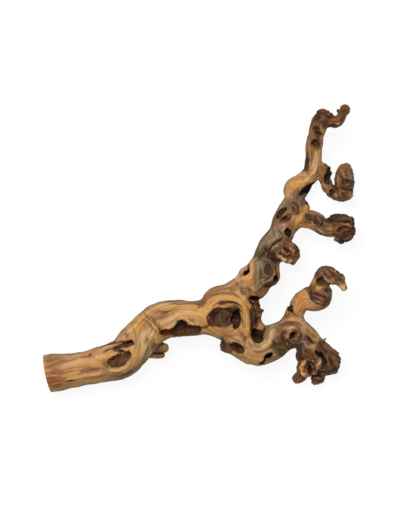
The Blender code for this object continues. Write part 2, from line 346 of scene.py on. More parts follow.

# Strokes worn into the upper side: half width, depth (negative stands proud), tone, strength, then
# x and y along the line. The dark tones of sunk strokes are partly painted shade in the grooves,
# and the pale and pink tones of proud ones are partly painted highlights.
STROKES = (
    # the sawn length
    (1.6, 2.6, "umber", 0.9, ((-136, -145.5), (-130, -141.5), (-121, -139.5), (-112, -137))),
    (1.5, 2.4, "umber", 0.9, ((-134, -136.5), (-124, -134), (-115, -131.5), (-106, -130.5))),
    (1.8, -2.2, "pale", 0.5, ((-135, -140), (-124, -137), (-113, -134), (-105, -132))),
    (1.7, -2.2, "pale", 0.65, ((-138, -154), (-126, -149.5), (-113, -146.8), (-102, -144.5))),
    (1.3, 1.8, "umber", 0.8, ((-104, -133.5), (-97, -130.5), (-92, -130))),
    (1.2, 1.6, "umber", 0.8, ((-101, -139), (-97, -136), (-93, -134))),
    (1.5, 2.0, "rust", 0.9, ((-192, -188), (-183, -187), (-174, -185))),
    (
        1.7, -1.4, "pale", 0.5,
        ((-192, -186), (-176, -182.5), (-160, -178.5), (-147, -178), (-135, -172)),
    ),
    (
        1.4, 1.0, "brown", 0.6,
        ((-208, -161), (-190, -158), (-176, -155.5), (-165, -152), (-150, -151)),
    ),
    (1.8, 1.0, "plum", 0.5, ((-170, -171), (-158, -170), (-150, -169.5), (-140, -167))),
    (1.4, 1.2, "umber", 0.6, ((-164, -166.5), (-157, -166.5), (-151, -165))),
    (1.2, 0.9, "brown", 0.6, ((-172, -177), (-161, -174), (-150, -172))),
    (1.6, 0.9, "rust", 0.7, ((-214, -179), (-206, -182), (-199, -188))),
    (1.5, 0.9, "rust", 0.6, ((-213, -170), (-202, -169), (-191, -171))),
    (1.5, 0.8, "brown", 0.5, ((-212, -175), (-198, -176), (-184, -174), (-172, -170))),
    (2.2, -0.9, "pale", 0.35, ((-196, -155), (-182, -153), (-166, -149.5))),
    (2.4, -0.9, "pale", 0.35, ((-186, -163), (-174, -160), (-160, -158), (-146, -158))),
    (1.8, 0.8, "olive", 0.5, ((-134, -159), (-131, -166), (-127, -173))),
    (
        1.8, -1.4, "pale", 0.55,
        ((-128, -171.5), (-115, -171), (-104, -166), (-97, -158), (-94, -149)),
    ),
    (2.6, 0.8, "plum", 0.4, ((-128, -179), (-114, -180), (-101, -176), (-92, -169))),
    # Painted shadow under the lower rim of the trunk pocket, in a shallow groove.
    (1.7, 2.2, "black", 0.9, ((-121, -166), (-113, -164.5), (-105, -161))),
    # the elbow
    (1.3, 1.8, "umber", 0.75, ((-79, -90), (-76, -94), (-72, -98.5))),
    (0.9, 0.9, "umber", 0.55, ((-83, -97), (-76, -102.5), (-69, -109), (-62, -117), (-57, -124))),
    (0.9, 1.0, "umber", 0.6, ((-76, -96), (-68, -101), (-60, -108), (-54, -116), (-51, -121))),
    (0.8, 0.8, "brown", 0.5, ((-73, -92), (-66, -98), (-60, -104), (-55, -111))),
    (1.2, -0.9, "pale", 0.5, ((-79, -99.5), (-71, -105), (-64, -112), (-58, -120))),
    (1.1, 1.8, "umber", 0.75, ((-79, -98), (-72, -103), (-65, -111))),
    (1.2, 1.5, "brown", 0.75, ((-68, -95), (-64, -103), (-60, -109), (-55, -116), (-51, -120))),
    (1.0, 1.2, "umber", 0.7, ((-58, -103), (-56, -108), (-54, -111))),
    (1.1, 1.4, "brown", 0.7, ((-66, -107), (-59, -116), (-54, -122))),
    (1.4, -1.3, "pale", 0.45, ((-75, -99), (-68, -104), (-61, -112), (-55, -119))),
    (1.1, 0.7, "brown", 0.35, ((-102, -107), (-94, -103.5), (-85, -104), (-77, -109), (-68, -112))),
    (1.5, 1.1, "brown", 0.55, ((-105, -114), (-104, -122), (-101, -129))),
    (1.3, 0.9, "brown", 0.45, ((-94, -108), (-91, -119), (-89, -131), (-91, -142))),
    # A pale band along the elbow's ridge: the wood's own pale band and a painted highlight.
    (3.4, -1.8, "pale", 0.55, ((-73, -114), (-78.5, -121), (-80, -131), (-79, -141), (-84, -153))),
    (1.4, 0.7, "brown", 0.25, ((-84, -113), (-84.5, -122), (-85, -134), (-87, -147))),
    (1.3, 0.7, "brown", 0.3, ((-71, -120), (-74, -130), (-73, -142), (-78, -154))),
    (1.2, 1.0, "brown", 0.45, ((-63, -128), (-64, -136), (-67, -146))),
    (1.3, 1.2, "umber", 0.6, ((-87, -91), (-84, -93), (-82, -96))),
    # from the elbow to the hub
    (1.6, 1.0, "brown", 0.5, ((-66, -91), (-58, -87), (-50, -90), (-42, -86), (-30, -83.5))),
    (1.4, 0.9, "brown", 0.5, ((-63, -99), (-52, -97), (-42, -92), (-32, -86))),
    (3.0, -1.3, "pale", 0.4, ((-50, -106), (-38, -98), (-28, -91), (-12, -89), (2, -93))),
    (
        1.6, -1.8, "pale", 0.55,
        ((-50, -112), (-42, -110), (-34, -104), (-27, -98), (-20, -98), (-13, -104), (-4, -107)),
    ),
    (1.2, 1.0, "umber", 0.65, ((-17, -99), (-12, -100.5), (-8, -100))),
    (1.4, 0.9, "brown", 0.5, ((-42, -76), (-28, -78), (-15, -76.5), (-3, -77))),
    (1.7, 1.8, "umber", 0.8, ((-7, -76), (-2, -77.5), (3, -73))),
    (
        1.6, 1.3, "brown", 0.65,
        ((-8, -86), (2, -79), (10, -70), (20, -64), (34, -61.5), (45, -63), (56, -71)),
    ),
    (1.5, 1.0, "brown", 0.55, ((1, -75), (10, -66), (22, -59), (36, -56), (50, -57))),
    (1.2, -1.0, "pale", 0.4, ((46, -59), (53, -63), (60, -69))),
    (1.4, 0.9, "olive", 0.5, ((52, -52), (57, -58), (62, -63))),
    (
        3.0, -2.2, "ochre", 0.7,
        ((6, -93), (12, -85), (18, -77), (27, -71.5), (38, -70), (50, -73), (59, -80), (64, -92),
         (65.5, -105), (65, -118)),
    ),
    (
        1.4, 3.0, "black", 0.9,
        ((23, -77.5), (30, -76.5), (38, -75.5), (46, -76), (53, -78.5), (56, -81)),
    ),
    (1.2, -1.2, "tan", 0.6, ((24, -81), (33, -79.5), (42, -79), (49, -80.5))),
    (1.4, 2.0, "black", 0.8, ((43, -82), (47, -83), (52, -83.5))),
    (1.4, 1.8, "umber", 0.8, ((-2, -110.5), (6, -111), (13, -108), (18, -104))),
    (1.3, 1.2, "brown", 0.55, ((52, -110), (56, -118), (60, -127), (64, -135))),
    (1.2, 1.6, "umber", 0.75, ((59, -119), (62, -125), (65, -131))),
    (1.2, 1.2, "umber", 0.7, ((70, -119), (66, -124), (63, -124))),
    (1.2, 1.1, "brown", 0.6, ((67, -125), (69, -133), (72, -142))),
    (1.2, 1.0, "brown", 0.6, ((74, -127), (76, -134), (80, -139))),
    (1.3, 0.9, "brown", 0.5, ((30, -121), (40, -125), (50, -128), (58, -135))),
    (1.6, 1.2, "umber", 0.6, ((63, -76), (69, -90), (70.5, -106), (71, -118))),
    (1.3, 2.2, "black", 0.8, ((43, -132), (50, -133), (56, -137), (61.5, -143))),
    (1.4, 1.2, "black", 0.6, ((31, -124), (30, -131), (34, -137))),
    # the lower limb
    (3.4, -2.6, "pale", 0.65, ((102, -112), (98.5, -119), (97.5, -128), (91, -135), (82, -139))),
    (1.4, 1.6, "umber", 0.7, ((92, -111), (88, -118), (87, -125))),
    (1.3, 1.2, "brown", 0.6, ((89, -133), (82, -136.5), (75, -137))),
    (1.7, 2.6, "black", 0.85, ((99, -128), (103, -132), (107, -133))),
    (1.4, 1.1, "brown", 0.6, ((73, -143), (82, -145), (92, -142), (100, -138))),
    (1.4, 1.3, "umber", 0.6, ((104, -109), (107, -114), (109, -118))),
    (3.0, 1.6, "olive", 0.7, ((104, -140), (111, -143), (117, -147))),
    (2.4, 1.2, "umber", 0.6, ((100, -137), (108, -136), (114, -133))),
    # the fork
    (1.8, 2.6, "black", 0.85, ((116.5, -116), (114, -122), (116, -128), (119.5, -133))),
    (1.0, -1.2, "pink", 0.5, ((118.5, -117), (118, -123), (120, -129))),
    (1.4, 1.6, "umber", 0.75, ((121, -131), (124, -128), (125, -123), (122, -118))),
    # A painted highlight, cream, on the upper ring of the fork knot.
    (1.6, -1.7, "pale", 0.8, ((119, -113), (126, -110.5), (133, -112))),
    (
        1.5, 1.5, "umber", 0.7,
        ((109, -110), (116, -105.5), (124, -103.5), (133, -104), (140, -107), (144, -112)),
    ),
    (1.5, -1.5, "orange", 0.65, ((115, -101), (127, -101), (138, -102), (147, -108))),
    (1.2, 1.3, "umber", 0.65, ((112, -113), (118, -108), (126, -106.5), (134, -108), (139, -114))),
    (1.5, 1.1, "plum", 0.6, ((137, -116), (141, -122), (140, -130))),
    (1.3, -1.2, "silver", 0.5, ((143, -116), (145, -123), (144, -130))),
    (1.9, 3.2, "black", 0.9, ((147, -123), (152, -127), (157, -132), (163, -134))),
    (1.4, 1.1, "brown", 0.6, ((147, -112), (152, -118), (158, -123), (164, -127))),
    (1.4, -1.3, "pale", 0.5, ((156, -126.5), (163, -129), (170, -132))),
    (1.5, -1.3, "silver", 0.5, ((143, -137), (149, -139), (155, -141), (162, -139))),
    (1.5, 1.4, "umber", 0.6, ((141, -142), (148, -146), (156, -150))),
    # the cluster at the end of the fork
    (1.6, 2.4, "black", 0.8, ((168, -132), (173, -138), (178, -145))),
    (1.4, 1.8, "umber", 0.75, ((160, -138), (167, -143), (173, -148))),
    (1.5, -1.7, "silver", 0.55, ((161, -142), (167, -147), (173, -152))),
    (1.9, 3.2, "black", 0.9, ((160, -143), (167, -149), (173, -154), (175, -161), (173, -169))),
    (1.4, -1.5, "silver", 0.45, ((171, -134), (178, -141), (184, -144))),
    (1.6, 2.2, "black", 0.75, ((180, -154), (183, -160), (185, -166))),
    (1.5, -1.5, "grey", 0.6, ((176, -153), (180, -161), (182, -169))),
    (1.5, 2.0, "black", 0.75, ((176, -174), (184, -174), (191, -171))),
    (1.6, -1.5, "pink", 0.6, ((183, -143), (189, -145), (193, -150))),
    (2.0, -1.7, "pink", 0.6, ((189, -154), (193, -160), (193, -168))),
    (
        2.3, -2.8, "orange", 0.85,
        ((151, -158), (144.5, -163), (142.5, -170), (144.5, -177), (150, -181)),
    ),
    (1.5, 2.2, "umber", 0.85, ((147.5, -163), (147.5, -169), (146, -173))),
    (1.6, -1.8, "orange", 0.7, ((151, -166), (149, -171), (150, -177))),
    (1.5, 2.6, "black", 0.85, ((152, -162), (154, -170), (151, -175), (158, -179))),
    (1.5, -2.4, "pale", 0.85, ((169, -154), (168.5, -160), (165, -165), (165, -171))),
    (1.4, 2.2, "umber", 0.85, ((161.5, -157), (160, -164), (162, -171))),
    (1.3, 1.8, "umber", 0.75, ((152, -159), (158, -157.5), (164, -158))),
    (1.2, -1.4, "pink", 0.6, ((155, -162), (157.5, -167), (158.5, -173))),
    (1.6, 2.0, "black", 0.75, ((167, -173), (171, -176), (176, -178))),
    (1.3, -1.3, "pink", 0.5, ((161, -182), (166, -184), (171, -187))),
    (1.3, 1.8, "black", 0.7, ((163, -187), (168, -189), (172, -184))),
    # the rising shoot
    (1.4, 1.8, "umber", 0.65, ((145, -85), (149, -87), (150, -90))),
    (1.4, 0.9, "brown", 0.5, ((125, -91), (133, -94), (141, -98))),
    (1.9, -2.0, "pale", 0.65, ((143, -59), (148, -65), (150, -71), (156, -77), (163, -79))),
    (1.9, 3.0, "umber", 0.9, ((150, -57), (151, -64), (153, -71), (160, -76), (167, -78))),
    (1.7, -2.0, "pink", 0.8, ((155, -60), (161, -59), (166, -62), (164, -65.5))),
    (1.4, 2.4, "umber", 0.85, ((153, -62.5), (160, -64.5), (168, -68), (176, -70))),
    (1.5, -1.7, "pink", 0.7, ((156, -66.5), (164, -68.5), (172, -73))),
    (1.4, 2.4, "umber", 0.85, ((155, -69), (162, -72), (168, -75))),
    (1.5, -1.6, "pale", 0.55, ((155, -73), (161, -75), (168, -77))),
    (1.7, 2.4, "black", 0.8, ((169, -56), (175, -58.5), (180, -59.5))),
    (1.5, 2.4, "black", 0.8, ((171, -73), (175, -75), (178, -78))),
    (1.5, 2.0, "umber", 0.75, ((178, -81), (176, -86), (172, -87))),
    (1.6, -1.4, "pink", 0.6, ((168, -62), (174, -65), (179, -70))),
    (1.5, -2.0, "silver", 0.65, ((165, -31), (168, -37), (172, -43), (179, -48), (186, -49))),
    (1.4, 2.0, "umber", 0.8, ((170, -30), (171, -36), (176, -41), (182, -44))),
    (1.6, 2.2, "umber", 0.85, ((175, -30), (181, -34), (186, -41))),
    (1.4, -1.6, "pink", 0.6, ((179, -29), (186, -34), (192, -40))),
    (1.3, 2.0, "umber", 0.85, ((182, -47.5), (186, -46), (189, -43.5))),
    (1.5, 2.0, "umber", 0.75, ((188, -42), (192, -45), (194, -48))),
    # the bulge
    (1.7, 3.2, "black", 0.9, ((66, -20), (66.5, -28), (66, -33), (60, -36.5), (55, -38))),
    (2.6, -1.8, "orange", 0.55, ((71, -17), (71, -30), (70.5, -41), (63, -46))),
    (1.4, 1.1, "grey", 0.6, ((76, -13), (76, -25), (76, -38), (76, -51))),
    (1.5, -1.2, "silver", 0.6, ((80, -20), (80, -30), (79, -45), (78, -59))),
    (1.3, 1.3, "umber", 0.6, ((82.5, -24), (82, -35), (84, -45))),
    (
        1.5, -1.2, "silver", 0.45,
        ((86, -15), (93, -16), (99, -20), (103, -28), (103, -37), (99, -44)),
    ),
    (1.7, 2.6, "umber", 0.85, ((104, -22), (105.5, -31), (105, -40))),
    (1.9, 2.8, "black", 0.85, ((89, -54), (96, -54), (102, -50))),
    (1.4, -1.6, "pink", 0.65, ((92, -48), (97, -45), (100, -41))),
    (1.3, 2.0, "umber", 0.8, ((90, -49.5), (95, -47.5), (99, -48.5))),
    (1.5, -1.3, "rust", 0.8, ((85, -60), (92, -58), (98, -55))),
    (1.5, 2.0, "black", 0.75, ((49, -47), (50.5, -51), (52, -54))),
    (1.3, 2.2, "umber", 0.85, ((65, -55), (68, -58), (70, -61))),
    (2.0, -1.4, "pink", 0.6, ((64, -57), (66, -64), (66, -73))),
    (1.5, 1.8, "umber", 0.75, ((70, -88), (74, -87), (78, -86))),
    (1.4, -1.5, "pink", 0.6, ((71, -74), (75, -75.5), (80, -75))),
    (1.7, 2.4, "black", 0.85, ((71.5, -91), (72.5, -102), (71.5, -112), (74, -119))),
    (1.3, -1.4, "pink", 0.6, ((75, -79), (77, -84), (80, -88))),
    (1.4, -1.4, "silver", 0.7, ((78, -117.5), (81, -117), (85, -119))),
    (1.5, 1.8, "black", 0.7, ((78, -103), (79, -108), (79, -114))),
    # the short side knob and the crook beside it
    (1.9, 3.4, "black", 0.9, ((97, 4), (103, 7), (110, 10), (118, 13))),
    (1.4, -1.5, "silver", 0.6, ((90, 3), (97, 8), (105, 12), (113, 16))),
    (2.0, -2.4, "pale", 0.85, ((109, -11.5), (114, -14.5), (121, -18), (130, -17))),
    (1.5, 2.2, "umber", 0.85, ((107, -8), (114, -10), (121, -13), (128, -11))),
    (1.6, -1.8, "orange", 0.6, ((122, 0), (127.5, -4), (130, -9))),
    (1.5, 2.2, "black", 0.8, ((117, 5), (115.5, 1), (119, -3), (125, -8))),
    (1.4, -1.4, "pink", 0.65, ((111, -3), (117, -6), (123, -9.5))),
    (2.6, 2.2, "black", 0.9, ((87, 2), (92, -2), (98, -6), (104, -9))),
    (3.0, 2.4, "black", 0.9, ((97, -11), (103, -17), (110, -20))),
    (1.5, 2.0, "black", 0.8, ((133, 3), (136, -4), (137, -13))),
    # the long limb
    (1.7, -1.8, "salmon", 0.95, ((112, 31), (116, 31), (121, 35))),
    (1.4, -1.6, "pale", 0.7, ((113, 23), (117, 27), (121, 30))),
    (1.3, 1.6, "umber", 0.7, ((107, 27), (111, 23), (117, 17))),
    (1.5, -1.4, "silver", 0.65, ((104, 33), (105, 22), (107, 14))),
    (1.2, 1.2, "umber", 0.6, ((101, 30), (102.5, 20), (105, 12))),
    (1.9, 3.2, "black", 0.9, ((109, 44), (115, 51), (121, 59))),
    (1.5, -1.4, "silver", 0.6, ((107, 50), (113, 57), (119, 63))),
    (1.3, 1.8, "umber", 0.8, ((112, 42), (119, 38), (124, 41), (127, 48))),
    (1.3, -1.4, "pink", 0.65, ((114, 46), (120, 47), (125, 50))),
    (1.5, 2.2, "umber", 0.85, ((126, 61), (131, 63.5), (137, 59), (136, 49), (130, 46))),
    (1.4, -1.5, "pink", 0.6, ((130, 60), (133.5, 57), (132.5, 51))),
    (2.4, -1.8, "ochre", 0.65, ((131, 28), (138, 38), (144, 48), (150, 57))),
    (1.3, 1.3, "umber", 0.65, ((141, 57), (143, 64), (147, 71))),
    (1.6, 2.0, "black", 0.75, ((147, 71), (151, 66), (154, 59))),
    # the middle side shoot and its clenched knob
    (1.4, 2.0, "umber", 0.85, ((145.5, 45), (150, 47.5), (154.5, 43), (152, 37), (147, 36))),
    (1.5, 2.0, "umber", 0.85, ((157, 46), (163, 46.5), (169, 42), (171, 35), (167, 29))),
    (1.3, -1.4, "pale", 0.45, ((160, 42), (164, 42), (167, 38))),
    (1.6, -1.6, "tan", 0.6, ((154, 30), (162, 27.5), (168, 24), (175, 19))),
    (1.2, 1.5, "umber", 0.7, ((158, 37), (163, 31), (166, 28))),
    (1.5, -1.3, "silver", 0.6, ((161, 48.5), (169, 46.5), (175, 41))),
    (1.5, 2.4, "black", 0.85, ((192, 38.5), (200, 36), (208, 37), (214, 34))),
    (1.4, -1.7, "pink", 0.7, ((191, 32), (199, 33), (206, 32), (211, 28))),
    (1.4, 2.2, "umber", 0.85, ((192, 24), (198, 28), (205, 28), (210, 24))),
    (1.4, -1.6, "rust", 0.75, ((191, 20), (198, 23), (205, 24))),
    (1.4, 2.2, "umber", 0.85, ((196, 15), (203, 19), (211, 19))),
    (1.4, -1.5, "pink", 0.6, ((201, 12), (208, 14), (213, 20))),
    (1.8, 2.0, "black", 0.8, ((193, 15), (200, 9), (210, 10))),
    # the crook and the column
    # Dark bark and painted shade along the underside of the limb above the crook.
    (3.2, 2.2, "black", 0.9, ((143, 79), (150, 84), (158, 88), (168, 92))),
    (2.8, -1.6, "ochre", 0.85, ((123, 89), (134, 93), (145, 93), (156, 98))),
    (1.4, 1.0, "brown", 0.6, ((131, 84), (132, 77), (130, 70))),
    (1.4, 1.3, "umber", 0.6, ((137, 70), (140, 77), (138, 84))),
    (1.8, -1.2, "tan", 0.6, ((124, 88), (122, 80), (123, 72))),
    (2.2, -1.6, "pale", 0.65, ((148, 96), (157, 103), (162, 113), (162.5, 127), (161, 137))),
    (2.0, 1.8, "black", 0.85, ((147.5, 111), (149.5, 119), (149.5, 128))),
    (1.3, 1.1, "brown", 0.6, ((154, 112), (156, 124), (154, 134))),
    (1.2, 1.1, "umber", 0.6, ((163, 100), (164, 107), (165, 113))),
    (1.4, -1.6, "pink", 0.6, ((155, 160), (160, 157), (161, 152))),
    (1.2, -1.5, "pale", 0.7, ((165, 168), (167.5, 165), (166.5, 162))),
    (1.4, 1.9, "umber", 0.85, ((163, 152), (167, 149), (169, 150))),
    (1.4, -1.3, "tan", 0.6, ((166.5, 156), (168.5, 152), (167.5, 147))),
    # the top of the column and its bent end
    (1.5, 2.2, "umber", 0.85, ((166, 187), (172, 185), (179, 187))),
    (1.4, -1.6, "rust", 0.8, ((166, 191), (173, 189), (180, 184))),
    (1.5, 2.2, "black", 0.85, ((173, 182), (179, 180), (186, 181))),
    (1.4, -1.6, "rust", 0.8, ((180, 177), (186, 176), (191, 174))),
    (1.7, 2.2, "black", 0.85, ((160, 186), (162, 181), (159, 176))),
    (1.5, -1.4, "rust", 0.85, ((187, 180), (191, 178), (192, 174))),
    (1.3, 1.6, "black", 0.7, ((195, 190), (198, 187), (203, 188))),
    # the curled shoot and its disc
    (2.0, 2.4, "black", 0.85, ((180, 114), (180.5, 109), (179, 104), (182, 100))),
    (1.5, 2.0, "black", 0.85, ((188, 88), (190, 83), (192, 77))),
    (1.5, -1.4, "silver", 0.55, ((172, 90), (179, 84), (186, 83))),
    (1.3, 2.2, "umber", 0.85, ((193, 104), (197, 98), (199, 91))),
    (1.3, -1.8, "pink", 0.7, ((196, 110), (200, 102), (202, 96))),
    (1.3, 2.2, "umber", 0.85, ((203, 112), (204, 104), (207, 97))),
    (1.3, -1.8, "silver", 0.65, ((208, 105), (210, 98), (213, 92))),
    (1.5, 2.4, "black", 0.85, ((195, 90), (199, 94.5), (206, 94.5), (213, 90))),
    (1.5, 2.4, "black", 0.85, ((196, 85), (203, 81), (210, 81), (214, 85))),
    (1.3, -1.6, "pink", 0.65, ((200, 88), (206, 88.5), (210, 87))),
    (1.4, -1.6, "pink", 0.7, ((191.5, 99), (192.5, 91), (194, 84))),
    (1.3, 2.0, "umber", 0.8, ((197, 78), (200, 73), (203, 70))),
    (1.3, -1.4, "pink", 0.6, ((194, 80), (197, 74), (199, 70))),
)
